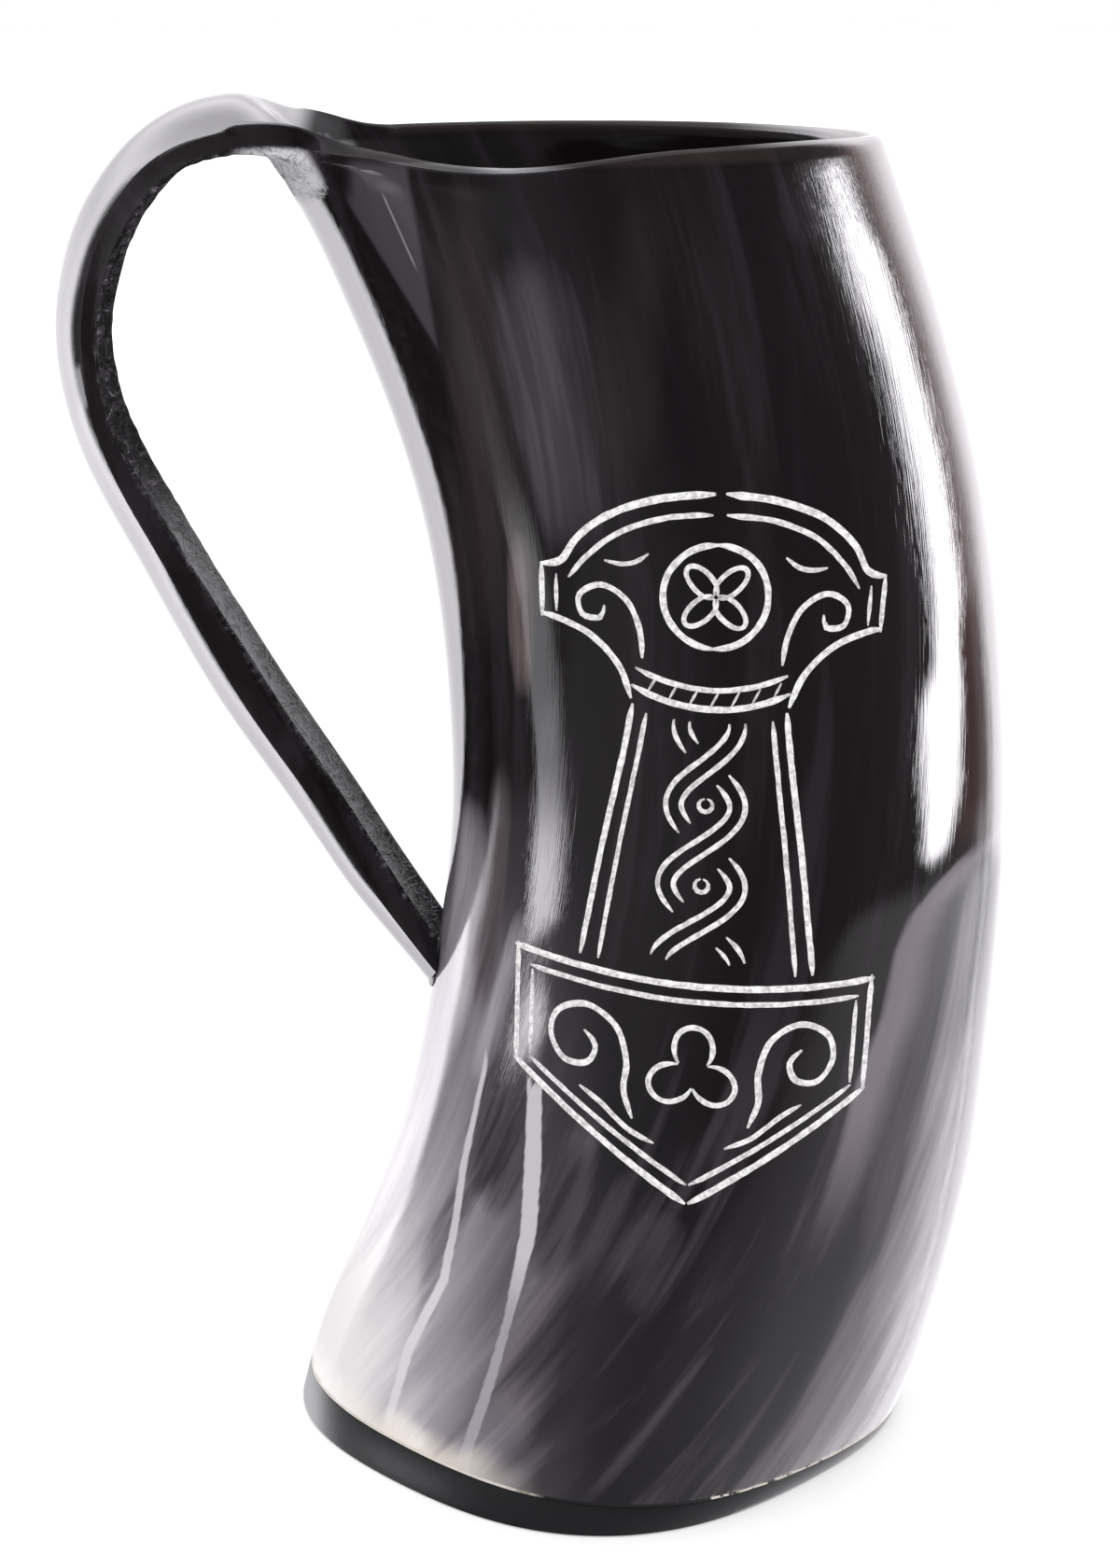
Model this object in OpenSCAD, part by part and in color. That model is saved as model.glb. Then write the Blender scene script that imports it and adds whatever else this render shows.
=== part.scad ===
// Horn drinking cup with a strap handle bent out of the rim.
// The origin is the centre of the underside, +Z is up, the handle is towards -X
// and the decorated front is towards -Y. All lengths are in millimetres.

/* [Part to show] */
// Piece that is built, or all of them

/* [Cup] */
// Height of the rim above the table
cup_height = 175; // [120:1:260]
// Width of the foot, handle side to far side
base_width = 84.3; // [60:0.1:120]
// Depth of the foot, front to back
base_depth = 79.2; // [60:0.1:120]
// Width of the mouth over the wall
mouth_width = 77; // [50:0.1:110]
// Depth of the mouth over the wall
mouth_depth = 67.4; // [50:0.1:110]
// How far the middle of the horn bows away from the handle
bow = 17.2; // [0:0.1:30]
// Thickness of the horn wall
wall = 4; // [2:0.1:6]
// Depth of the worn dip in the rim, front left
rim_dip = 1.7; // [0:0.1:4]
// Height of the swell in the rim, front right
rim_swell = 0.8; // [0:0.1:3]

/* [Base] */
// Thickness of the base plate below the axis of the cup
plate_thickness = 3.9; // [2:0.1:8]
// Thickness of the sealant between the horn and the plate
seal_thickness = 0.4; // [0.2:0.1:1]
// How far the sealant sits back from the outside of the horn
seal_setback = 0.15; // [0:0.05:0.5]
// Height of the plug that fills the horn above the plate
plug_height = 5; // [2:0.1:12]
// Clear space between the plug and the inside of the horn
plug_clearance = 0.3; // [0.1:0.05:1]
// Bevel around the edge of the foot
foot_bevel = 0.6; // [0.2:0.1:1.5]

/* [Handle] */
// Depth of the handle's root below the rim
root_depth = 12; // [6:0.5:24]
// Largest distance from the wall to the middle of the strap
handle_reach = 38.9; // [25:0.1:60]
// Width of the strap where it rolls over
strap_width_top = 29; // [18:0.5:40]
// Width of the strap near its tip
strap_width_tip = 16; // [12:0.5:30]
// Thickness of the strap where it rolls over
strap_thickness_top = 4.6; // [2:0.1:8]
// Thickness of the strap along its straight lower run
strap_thickness_low = 3.6; // [3:0.1:10]
// Height of the crown across the strap
strap_crown = 3; // [0:0.1:6]
// How far the strap leans to the front at its widest
strap_lean = 2.5; // [0:0.1:6]
// How far the front edge is turned in from the back edge, to each side
strap_turn = 0.9; // [0:0.1:3]
// How far the tip sits to the back
tip_offset = 3; // [0:0.1:8]
// Thickness of the glue under the tip
glue_thickness = 0.4; // [0.2:0.1:1]

/* [Hidden] */

// Colours
horn_colour = [0.11, 0.09, 0.09];
strap_colour = [0.15, 0.13, 0.13];
plate_colour = [0.13, 0.13, 0.14];
seal_colour = [0.80, 0.76, 0.68];
glue_colour = [0.62, 0.56, 0.44];

// Horn outline, as shares of the cup height, the bow and the foot
height_shares = [0, 0.0686, 0.1429, 0.2286, 0.3143, 0.4, 0.5143, 0.7143, 0.8571, 1];
bow_shares = [0, 0.213, 0.470, 0.698, 0.831, 0.927, 1, 0.811, 0.392, -0.206];
taper_shares = [1, 1.10, 0.700, 0.345, 0.027, -0.205, -0.411, -0.507, -0.315, 0];
depth_taper_shares = [1, 0.9, 0.8, 0.68, 0.55, 0.43, 0.3, 0.13, 0.05, 0];
// Straight-sidedness of the sections: how much their corners draw in
corner_share_foot = 0.075;
corner_share_mouth = 0.03;
// Rise of the horn's cut end, per length, to the handle and to the front
cut_rise_share_handle = 0.05;
cut_rise_share_front = 0.025;

// Strap outline: distance from the wall as shares of the reach,
// height as shares of the cup height
strap_out_shares = [0.127, 0.244, 0.384, 0.555, 0.730, 0.892, 0.955, 0.996, 0.980, 0.855,
    0.678, 0.444, 0.238, 0.0];
strap_up_shares = [1.0177, 1.0125, 0.9960, 0.9690, 0.9326, 0.8834, 0.8514, 0.8057, 0.7531,
    0.6697, 0.584, 0.4960, 0.4310, 0.3630];
// Where along the strap each size is reached
lean_stations = [0, 0.3, 0.6, 1];
turn_shares = [0, 1, 1, 0];
thickness_stations = [0, 0.15, 0.35, 0.8, 1];
thickness_shares = [1, 0.9, 0.1, 0.2, -0.4];
// How strongly the root's surface keeps its starting and ending direction
root_pull_share = 1.0;
root_landing_share = 0.75;

// Angles and counts
handle_angle = 180;
root_angle = 45;
dip_angle = 252;
dip_spread = 38;
swell_angle = 318;
swell_spread = 55;
root_steps = 18;
wall_steps = 72;
wall_rows = 22;
lip_steps = 4;
root_rings = 10;
strap_rings = 34;
settle_steps = 5;
small_share = 0.001;

// Values at one place along a list of stations, joined by smooth curves
function slope_at(xs, ys, i) =
    i == 0 ? (ys[1] - ys[0]) / (xs[1] - xs[0])
    : i == len(xs) - 1 ? (ys[i] - ys[i - 1]) / (xs[i] - xs[i - 1])
    : (ys[i + 1] - ys[i - 1]) / (xs[i + 1] - xs[i - 1]);

function blend(a, da, b, db, t) =
    (2 * t ^ 3 - 3 * t ^ 2 + 1) * a + (t ^ 3 - 2 * t ^ 2 + t) * da
    + (3 * t ^ 2 - 2 * t ^ 3) * b + (t ^ 3 - t ^ 2) * db;

function curve(x, xs, ys, i = 0) =
    i < len(xs) - 2 && x > xs[i + 1] ? curve(x, xs, ys, i + 1)
    : let (h = xs[i + 1] - xs[i])
    let (t = min(max((x - xs[i]) / h, 0), 1))
    blend(ys[i], h * slope_at(xs, ys, i), ys[i + 1], h * slope_at(xs, ys, i + 1), t);

function unit(v) = v / norm(v);

// How much one bump in the rim counts at an angle
function bump(angle, at, spread) =
    abs(angle - at) < spread ? cos(90 * (angle - at) / spread) ^ 2 : 0;

// Horn section at a height
function middle(z) = bow * curve(z / cup_height, height_shares, bow_shares);
function half_width(z) =
    (mouth_width + (base_width - mouth_width) * width_share(z)) / 2;
function width_share(z) = curve(z / cup_height, height_shares, taper_shares);
function half_depth(z) =
    (mouth_depth + (base_depth - mouth_depth) * depth_share(z)) / 2;
function depth_share(z) = curve(z / cup_height, height_shares, depth_taper_shares);
function corner_share(z) =
    corner_share_foot + (corner_share_mouth - corner_share_foot) * z / cup_height;
function corner(angle, z) = 1 - corner_share(z) * (1 - cos(4 * angle)) / 2;

// Point of the horn's wall, set in from its outside
function wall_point(angle, z, inset = 0) = [
    middle(z) + (half_width(z) - inset) * corner(angle, z) * cos(angle),
    (half_depth(z) - inset) * corner(angle, z) * sin(angle),
    z
];

// Height of the horn's cut lower end
function cut_height(p) =
    plate_thickness - cut_rise_share_handle * p[0] - cut_rise_share_front * p[1];
function on_cut(angle, inset, lift, z, n = settle_steps) =
    n == 0 ? wall_point(angle, z, inset)
    : on_cut(angle, inset, lift, cut_height(wall_point(angle, z, inset)) + lift, n - 1);

// Height of the rim, and of the root's curve that dips below it
function rim_height(angle) =
    cup_height + rim_swell * bump(angle, swell_angle, swell_spread)
    - rim_dip * bump(angle, dip_angle, dip_spread);
function in_root(i) = i <= root_steps;
function column_angle(i) =
    in_root(i) ? handle_angle + root_angle * sin(180 * i / root_steps - 90)
    : handle_angle + root_angle + (360 - 2 * root_angle) * (i - root_steps) / wall_steps;
function column_drop(i) = in_root(i) ? root_depth * sin(180 * i / root_steps) : 0;
column_count = root_steps + wall_steps;

// The lip is round over the wall, and cut flat where the handle grows out
function top_height(i) = rim_height(column_angle(i) % 360) - wall / 2 - column_drop(i);
function lip_is_round(i) = i == 0 || !in_root(i) || i == root_steps;
function lip_point(i, k) =
    let (turn = 180 * k / lip_steps)
    let (z = top_height(i))
    let (across = (1 - cos(turn)) / 2)
    wall_point(column_angle(i), z, wall * across)
    + [0, 0, lip_is_round(i) ? wall / 2 * sin(turn) : 0];

// One closed loop of points around the horn's wall, for one column
function wall_height(i, inset, row) =
    let (low = on_cut(column_angle(i), inset, 0, plate_thickness)[2])
    low + (top_height(i) - low) * row / wall_rows;
function wall_column(i) = [
    for (row = [0:wall_rows]) wall_point(column_angle(i), wall_height(i, 0, row)),
    for (k = [1:lip_steps - 1]) lip_point(i, k),
    for (row = [wall_rows:-1:0])
        wall_point(column_angle(i), wall_height(i, wall, row), wall)
];

// Triangles of a grid of points, closed on itself as asked
function grid_faces(rows, columns, wrap_rows, wrap_columns) = [
    for (r = [0:rows - (wrap_rows ? 1 : 2)])
        for (c = [0:columns - (wrap_columns ? 1 : 2)])
            let (a = r * columns + c)
            let (b = r * columns + (c + 1) % columns)
            let (d = ((r + 1) % rows) * columns + c)
            let (e = ((r + 1) % rows) * columns + (c + 1) % columns)
            each [[a, b, e], [a, e, d]]
];
function flat(list) = [for (row = list) each row];
function reversed(faces) = [for (face = faces) [face[2], face[1], face[0]]];

module horn_body() {
    columns = [for (i = [0:column_count - 1]) wall_column(i)];
    faces = grid_faces(column_count, len(columns[0]), true, true);
    color(horn_colour) polyhedron(flat(columns), faces, convexity = 8);
}

// Left side of the horn at a height, which the strap is measured from
function left_side(z) = middle(min(z, cup_height)) - half_width(min(z, cup_height));
strap_path = [
    for (i = [0:len(strap_out_shares) - 1])
        let (z = cup_height * strap_up_shares[i])
        [left_side(z) - handle_reach * strap_out_shares[i], z]
];
path_last = len(strap_path) - 1;
function path_run(i) =
    i == 0 ? 0 : path_run(i - 1) + norm(strap_path[i] - strap_path[i - 1]);
path_stations = [for (i = [0:path_last]) path_run(i) / path_run(path_last)];
path_x = [for (p = strap_path) p[0]];
path_z = [for (p = strap_path) p[1]];
function path_point(s) =
    [curve(s, path_stations, path_x), curve(s, path_stations, path_z)];
function path_heading(s) =
    unit(path_point(min(s + small_share, 1)) - path_point(max(s - small_share, 0)));

// Strap sizes along its length
function strap_half_width(s) =
    (strap_width_top + (strap_width_tip - strap_width_top) * s - strap_thickness(s)) / 2;
function strap_thickness(s) =
    strap_thickness_low + (strap_thickness_top - strap_thickness_low)
    * curve(s, thickness_stations, thickness_shares);
function strap_twist(s) =
    strap_turn * curve(s, lean_stations, turn_shares);
function strap_shift(s) =
    curve(s, lean_stations, [0, -strap_lean, 0, tip_offset]);

// Middle surface of the strap; across runs from -1 at the back to 1 at the front
function strap_middle(across, s) =
    let (at = path_point(s))
    let (heading = path_heading(s))
    let (outward = [heading[1], -heading[0]])
    let (set = -strap_crown * across ^ 2 - strap_twist(s) * across)
    [at[0] + outward[0] * set, strap_shift(s) - across * strap_half_width(s),
        at[1] + outward[1] * set];

// Middle surface of the root, from its curve in the wall to the strap
function root_angle_at(across) = handle_angle + root_angle * sin(90 * across);
function root_start(across) =
    let (angle = root_angle_at(across))
    let (rim = rim_height(angle) - wall / 2)
    wall_point(angle, rim - root_depth * cos(90 * across), wall / 2);
function root_heading(across) =
    let (angle = root_angle_at(across))
    let (z = root_start(across)[2])
    let (step = small_share * cup_height)
    let (up = unit(wall_point(angle, z, wall / 2) - wall_point(angle, z - step, wall / 2)))
    let (inward = across > 0 ? -1 : 1)
    let (beside = wall_point(angle + inward, z, wall / 2))
    let (along = unit(beside - wall_point(angle, z, wall / 2)))
    unit(up * cos(90 * across) + along * abs(sin(90 * across)));
function root_middle(across, t) =
    let (from = root_start(across))
    let (to = strap_middle(across, 0))
    let (span = norm(to - from))
    let (landing = [path_heading(0)[0], 0, path_heading(0)[1]])
    blend(from, root_heading(across) * span * root_pull_share,
        to, landing * span * root_landing_share, t);

// The whole middle surface: from -1 at the wall over 0 at the top to 1 at the tip
function skin(across, s) =
    s < 0 ? root_middle(across, s + 1) : strap_middle(across, s);
function skin_across(across, s) =
    unit(skin(min(across + small_share, 1), s)
    - skin(max(across - small_share, -1), s));
function skin_along(across, s) =
    unit(skin(across, min(s + small_share, 1))
    - skin(across, max(s - small_share, -1)));
function skin_outward(across, s) =
    unit(cross(skin_along(across, s), skin_across(across, s)));
function skin_thickness(s) =
    s < 0 ? wall + (strap_thickness_top - wall) * (s + 1) : strap_thickness(s);

// One closed loop of points around the strap
function across_at(i) = 2 * i / root_steps - 1;
function side_points(s, side) = [
    for (i = [0:root_steps])
        skin(across_at(i), s)
        + skin_outward(across_at(i), s) * side * skin_thickness(s) / 2
];
function edge_points(s, end, from_side) = [
    for (k = [1:lip_steps - 1])
        let (turn = 180 * k / lip_steps)
        let (half = skin_thickness(s) / 2)
        skin(end, s)
        + skin_outward(end, s) * half * from_side * cos(turn)
        + skin_across(end, s) * end * half * sin(turn)
];
function backwards(list) = [for (i = [len(list) - 1:-1:0]) list[i]];
function strap_ring(s) = concat(
    side_points(s, -1), edge_points(s, 1, -1),
    backwards(side_points(s, 1)), edge_points(s, -1, 1)
);
function root_ring() = concat(
    [for (i = [0:root_steps]) lip_point(i, 0)],
    [for (k = [1:lip_steps - 1]) lip_point(root_steps, k)],
    [for (i = [root_steps:-1:0]) lip_point(i, lip_steps)],
    [for (k = [lip_steps - 1:-1:1]) lip_point(0, k)]
);

// Left outside of the horn at a depth and a height
function angle_at(y, z, angle = 180, n = settle_steps) =
    n == 0 ? angle
    : let (radius = half_depth(z) * corner(angle, z))
    angle_at(y, z, 180 - asin(y / radius), n - 1);
function wall_x(y, z) = wall_point(angle_at(y, z), z)[0];

// The tip is cut along the wall: each of its points runs on until it meets it
tip_heading = path_heading(1);
function run_to_wall(p, clear, n = settle_steps) =
    n == 0 ? p
    : let (short = wall_x(p[1], p[2]) - clear - p[0])
    run_to_wall(p + [tip_heading[0], 0, tip_heading[1]] * short / tip_heading[0], clear, n - 1);
tip_ring = [for (p = strap_ring(1)) run_to_wall(p, glue_thickness)];
strap_end = 1 - 1 / strap_rings;
ring_size = 2 * (root_steps + lip_steps);

// Triangles that close the strap's two ends, from side to side
function end_partner(i) = 2 * root_steps + lip_steps - i;
function end_faces(start) = [
    for (i = [0:root_steps - 1])
        each [
            [start + i, start + i + 1, start + end_partner(i + 1)],
            [start + i, start + end_partner(i + 1), start + end_partner(i)]
        ],
    for (k = [0:lip_steps - 2])
        [start + root_steps + k, start + root_steps + k + 1,
            start + root_steps + lip_steps],
    for (k = [0:lip_steps - 2])
        [start + (ring_size - k) % ring_size, start + end_partner(0),
            start + ring_size - k - 1]
];

// The root's end follows the flat cut in the wall, point for point
cut_inner = [
    for (i = [1:root_steps - 1])
        for (k = [1:lip_steps - 1]) lip_point(i, k)
];

module handle() {
    rings = [
        root_ring(),
        for (j = [1:root_rings]) strap_ring(j / root_rings - 1),
        for (j = [1:strap_rings - 1]) strap_ring(strap_end * j / (strap_rings - 1)),
        tip_ring
    ];
    count = len(rings);
    sides = grid_faces(count, ring_size, false, true);
    tip_faces = end_faces((count - 1) * ring_size);
    inner_start = count * ring_size;
    points = concat(flat(rings), cut_inner);
    faces = concat(sides, tip_faces, root_faces(inner_start));
    color(strap_colour) polyhedron(points, reversed(faces), convexity = 8);
}

// Number of a point of the root's end: on the ring, or inside it
function root_index(i, k, inner_start) =
    k == 0 ? i
    : k == lip_steps ? 2 * root_steps + lip_steps - i
    : i == root_steps ? root_steps + k
    : i == 0 ? ring_size - k
    : inner_start + (i - 1) * (lip_steps - 1) + k - 1;
function root_faces(inner_start) = [
    for (i = [0:root_steps - 1])
        for (k = [0:lip_steps - 1])
            let (a = root_index(i, k, inner_start))
            let (b = root_index(i, k + 1, inner_start))
            let (d = root_index(i + 1, k, inner_start))
            let (e = root_index(i + 1, k + 1, inner_start))
            each [[a, b, e], [a, e, d]]
];

// Closed body from loops around the cup, filled at both ends
function around(inset, lift) = [
    for (i = [0:column_count - 1]) on_cut(column_angle(i), inset, lift, plate_thickness)
];
function level(inset, z) = [
    for (i = [0:column_count - 1]) wall_point(column_angle(i), z, inset)
];
function fan(start, hub) = [
    for (i = [0:column_count - 1])
        [start + i, start + (i + 1) % column_count, hub]
];

module base_plate() {
    rings = [
        level(foot_bevel, 0),
        level(0, foot_bevel),
        around(0, -seal_thickness),
        around(wall + plug_clearance, -seal_thickness),
        around(wall + plug_clearance, plug_height)
    ];
    last = len(rings) - 1;
    low_hub = [middle(0), 0, 0];
    top_hub = hub_of(rings[last]);
    points = concat(flat(rings), [low_hub, top_hub]);
    hubs = len(rings) * column_count;
    faces = concat(
        grid_faces(len(rings), column_count, false, true),
        reversed(fan(0, hubs)),
        fan(last * column_count, hubs + 1)
    );
    color(plate_colour) polyhedron(points, reversed(faces), convexity = 6);
}

// Point in the middle of a loop, on the loop's own plane
function hub_of(loop) =
    let (total = [for (k = [0:2]) sum_of([for (p = loop) p[k]])])
    let (at = total / len(loop))
    [at[0], at[1], cut_height(at) + plug_height];
function sum_of(list) = list * [for (v = list) 1];

module base_seal() {
    rings = [
        around(seal_setback, -seal_thickness),
        around(seal_setback, 0),
        around(wall, 0),
        around(wall, -seal_thickness)
    ];
    faces = grid_faces(len(rings), column_count, true, true);
    color(seal_colour) polyhedron(flat(rings), reversed(faces), convexity = 6);
}

module tip_glue() {
    pad = strap_ring(1);
    near = [for (p = pad) run_to_wall(p, glue_thickness)];
    wall_side = [for (p = pad) run_to_wall(p, glue_thickness * small_share)];
    sides = grid_faces(2, ring_size, false, true);
    ends = concat(reversed(end_faces(0)), end_faces(ring_size));
    points = concat(near, wall_side);
    color(glue_colour) polyhedron(points, reversed(concat(sides, ends)), convexity = 4);
}

horn_body();
handle();
base_plate();
base_seal();
tip_glue();
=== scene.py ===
import math

import bmesh
import bpy
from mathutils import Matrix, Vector, noise
from mathutils.bvhtree import BVHTree


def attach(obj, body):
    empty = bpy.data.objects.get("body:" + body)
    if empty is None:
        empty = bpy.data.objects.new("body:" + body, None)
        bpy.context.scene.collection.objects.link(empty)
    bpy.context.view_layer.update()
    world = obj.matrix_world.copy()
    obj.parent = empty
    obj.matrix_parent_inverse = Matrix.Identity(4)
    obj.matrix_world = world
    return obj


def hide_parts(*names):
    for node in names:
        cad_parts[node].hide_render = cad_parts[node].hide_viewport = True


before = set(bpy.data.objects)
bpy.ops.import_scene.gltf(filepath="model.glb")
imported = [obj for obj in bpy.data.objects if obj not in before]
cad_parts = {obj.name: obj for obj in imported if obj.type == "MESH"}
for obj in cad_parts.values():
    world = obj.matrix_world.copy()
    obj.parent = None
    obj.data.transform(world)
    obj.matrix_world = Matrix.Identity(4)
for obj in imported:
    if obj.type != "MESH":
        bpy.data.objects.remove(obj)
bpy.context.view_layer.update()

# Sizes, the same named ones as the part, in metres
MM = 0.001
CUP_HEIGHT = 175 * MM
BASE_WIDTH = 84.3 * MM
BASE_DEPTH = 79.2 * MM
MOUTH_WIDTH = 77 * MM
MOUTH_DEPTH = 67.4 * MM
BOW = 17.2 * MM
WALL = 4 * MM
RIM_DIP = 1.7 * MM
RIM_SWELL = 0.8 * MM
PLATE_THICKNESS = 3.9 * MM
SEAL_THICKNESS = 0.4 * MM
PLUG_HEIGHT = 5 * MM
PLUG_CLEARANCE = 0.3 * MM
ROOT_DEPTH = 12 * MM
HANDLE_REACH = 38.9 * MM
STRAP_WIDTH_TOP = 29 * MM
STRAP_WIDTH_TIP = 16 * MM
STRAP_THICKNESS_TOP = 4.6 * MM
STRAP_THICKNESS_LOW = 3.6 * MM
STRAP_CROWN = 3 * MM
STRAP_LEAN = 2.5 * MM
STRAP_TURN = 0.9 * MM
TIP_OFFSET = 3 * MM
GLUE_THICKNESS = 0.4 * MM

HEIGHT_SHARES = [0, 0.0686, 0.1429, 0.2286, 0.3143, 0.4, 0.5143, 0.7143, 0.8571, 1]
BOW_SHARES = [0, 0.213, 0.470, 0.698, 0.831, 0.927, 1, 0.811, 0.392, -0.206]
TAPER_SHARES = [1, 1.10, 0.700, 0.345, 0.027, -0.205, -0.411, -0.507, -0.315, 0]
DEPTH_TAPER_SHARES = [1, 0.9, 0.8, 0.68, 0.55, 0.43, 0.3, 0.13, 0.05, 0]
CORNER_FOOT, CORNER_MOUTH = 0.075, 0.03
CUT_RISE_HANDLE, CUT_RISE_FRONT = 0.05, 0.025
STRAP_OUT_SHARES = [0.127, 0.244, 0.384, 0.555, 0.730, 0.892, 0.955, 0.996, 0.980, 0.855,
                    0.678, 0.444, 0.238, 0.0]
STRAP_UP_SHARES = [1.0177, 1.0125, 0.9960, 0.9690, 0.9326, 0.8834, 0.8514, 0.8057, 0.7531,
                   0.6697, 0.584, 0.4960, 0.4310, 0.3630]
LEAN_STATIONS = [0, 0.3, 0.6, 1]
THICKNESS_STATIONS = [0, 0.15, 0.35, 0.8, 1]
THICKNESS_SHARES = [1, 0.9, 0.1, 0.2, -0.4]
ROOT_ANGLE = 45
ROOT_STEPS, WALL_STEPS, WALL_ROWS, ROOT_RINGS, STRAP_RINGS = 18, 72, 17, 10, 32
SMALL = 0.001              # a short step along a curve
ROUNDS = 5                 # enough for a place on the cut or on the wall to settle
RIM_SWELL_AT, RIM_SWELL_SPREAD = 318, 55
RIM_DIP_AT, RIM_DIP_SPREAD = 252, 38
ROOT_LANDING = 0.75        # how straight the root runs into the strap
LIP_SPARE = 0.09 * MM      # what the lip loses when it is rounded
STRAP_EDGE_FALL = 1.3 * MM
LIP_BAND = 2.3 * MM        # height of the band that the lip is rounded from
# the bent strap bulges outward a little low down: height, then gap side and outer face
STRAP_BULGE = [(92, 0, 1.2), (104, 0, 1.6), (111, 0.05, 1.5), (117, 0.3, 1.3), (123, 0.35, 0.95),
               (129, 0.4, 0.9), (135, 0.7, 0.8), (141, 0.75, 0.5), (147, 0.6, 0.25), (155, 0, 0)]


# The cup's curves
def slope_at(xs, ys, i):
    """Slope at one of the points that a curve goes through."""
    if i == 0:
        return (ys[1] - ys[0]) / (xs[1] - xs[0])
    if i == len(xs) - 1:
        return (ys[i] - ys[i - 1]) / (xs[i] - xs[i - 1])
    return (ys[i + 1] - ys[i - 1]) / (xs[i + 1] - xs[i - 1])


def ease(a, da, b, db, t):
    """A cubic from a to b with the slopes da and db, at t from 0 to 1."""
    return ((2 * t**3 - 3 * t**2 + 1) * a + (t**3 - 2 * t**2 + t) * da
            + (3 * t**2 - 2 * t**3) * b + (t**3 - t**2) * db)


def curve(x, xs, ys):
    """The smooth curve through the points xs, ys, read at x."""
    i = 0
    while i < len(xs) - 2 and x > xs[i + 1]:
        i += 1
    h = xs[i + 1] - xs[i]
    t = min(max((x - xs[i]) / h, 0), 1)
    return ease(ys[i], h * slope_at(xs, ys, i), ys[i + 1], h * slope_at(xs, ys, i + 1), t)


def bump_at(angle, at, spread):
    """1 at one angle, falling to 0 at spread degrees to each side."""
    return math.cos(math.pi / 2 * (angle - at) / spread) ** 2 if abs(angle - at) < spread else 0


def middle(z):
    """How far the horn's middle is bowed to the right."""
    return BOW * curve(z / CUP_HEIGHT, HEIGHT_SHARES, BOW_SHARES)


def half_width(z):
    return (MOUTH_WIDTH + (BASE_WIDTH - MOUTH_WIDTH)
            * curve(z / CUP_HEIGHT, HEIGHT_SHARES, TAPER_SHARES)) / 2


def half_depth(z):
    return (MOUTH_DEPTH + (BASE_DEPTH - MOUTH_DEPTH)
            * curve(z / CUP_HEIGHT, HEIGHT_SHARES, DEPTH_TAPER_SHARES)) / 2


def corner(degrees, z):
    """Share of the oval's radius: it is pulled in a little at 45 degrees."""
    share = CORNER_FOOT + (CORNER_MOUTH - CORNER_FOOT) * z / CUP_HEIGHT
    return 1 - share * (1 - math.cos(math.radians(4 * degrees))) / 2


def wall_point(degrees, z, inset=0.0):
    """A place on the wall's outside, or inset behind it."""
    r, a = corner(degrees, z), math.radians(degrees)
    return Vector((middle(z) + (half_width(z) - inset) * r * math.cos(a),
                   (half_depth(z) - inset) * r * math.sin(a), z))


def cut_height(x, y):
    """Height of the slanting cut at the horn's lower end."""
    return PLATE_THICKNESS - CUT_RISE_HANDLE * x - CUT_RISE_FRONT * y


def on_cut(degrees, inset=0.0, lift=0.0):
    """The wall's place where it meets the cut, or lifted over it."""
    z = PLATE_THICKNESS
    for _ in range(ROUNDS):
        p = wall_point(degrees, z, inset)
        z = cut_height(p.x, p.y) + lift
    return wall_point(degrees, z, inset)


def rim_height(degrees):
    d = degrees % 360
    return (CUP_HEIGHT + RIM_SWELL * bump_at(d, RIM_SWELL_AT, RIM_SWELL_SPREAD)
            - RIM_DIP * bump_at(d, RIM_DIP_AT, RIM_DIP_SPREAD))


def column_degrees(i):
    """Direction of each column: those of the strap's root stand closer."""
    if i <= ROOT_STEPS:
        return 180 + ROOT_ANGLE * math.sin(math.radians(180 * i / ROOT_STEPS - 90))
    return 180 + ROOT_ANGLE + (360 - 2 * ROOT_ANGLE) * (i - ROOT_STEPS) / WALL_STEPS


def column_drop(i):
    """How far below the rim the strap's root starts."""
    return ROOT_DEPTH * math.sin(math.pi * i / ROOT_STEPS) if i <= ROOT_STEPS else 0


def left_side(z):
    """Where the wall's outside is on the handle side."""
    z = min(z, CUP_HEIGHT)
    return middle(z) - half_width(z)


STRAP_PATH = [(left_side(CUP_HEIGHT * up) - HANDLE_REACH * out, CUP_HEIGHT * up)
              for out, up in zip(STRAP_OUT_SHARES, STRAP_UP_SHARES)]
path_run = [0.0]
for start, end in zip(STRAP_PATH, STRAP_PATH[1:]):
    path_run.append(path_run[-1] + math.dist(start, end))
PATH_STATIONS = [run / path_run[-1] for run in path_run]
PATH_X, PATH_Z = [p[0] for p in STRAP_PATH], [p[1] for p in STRAP_PATH]


def path_point(s):
    return Vector((curve(s, PATH_STATIONS, PATH_X), curve(s, PATH_STATIONS, PATH_Z)))


def path_heading(s):
    return (path_point(min(s + SMALL, 1)) - path_point(max(s - SMALL, 0))).normalized()


def strap_thickness(s):
    return (STRAP_THICKNESS_LOW + (STRAP_THICKNESS_TOP - STRAP_THICKNESS_LOW)
            * curve(s, THICKNESS_STATIONS, THICKNESS_SHARES))


def strap_middle(across, s):
    """The strap's middle sheet: across from -1 to 1, and along it from 0 to 1."""
    at, heading = path_point(s), path_heading(s)
    half = (STRAP_WIDTH_TOP + (STRAP_WIDTH_TIP - STRAP_WIDTH_TOP) * s) / 2
    turn = STRAP_TURN * curve(s, LEAN_STATIONS, [0, 1, 1, 0])
    shift = curve(s, LEAN_STATIONS, [0, -STRAP_LEAN, 0, TIP_OFFSET])
    set_in = -STRAP_CROWN * across**2 - turn * across
    return Vector((at.x + heading.y * set_in, shift - across * half, at.y - heading.x * set_in))


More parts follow.
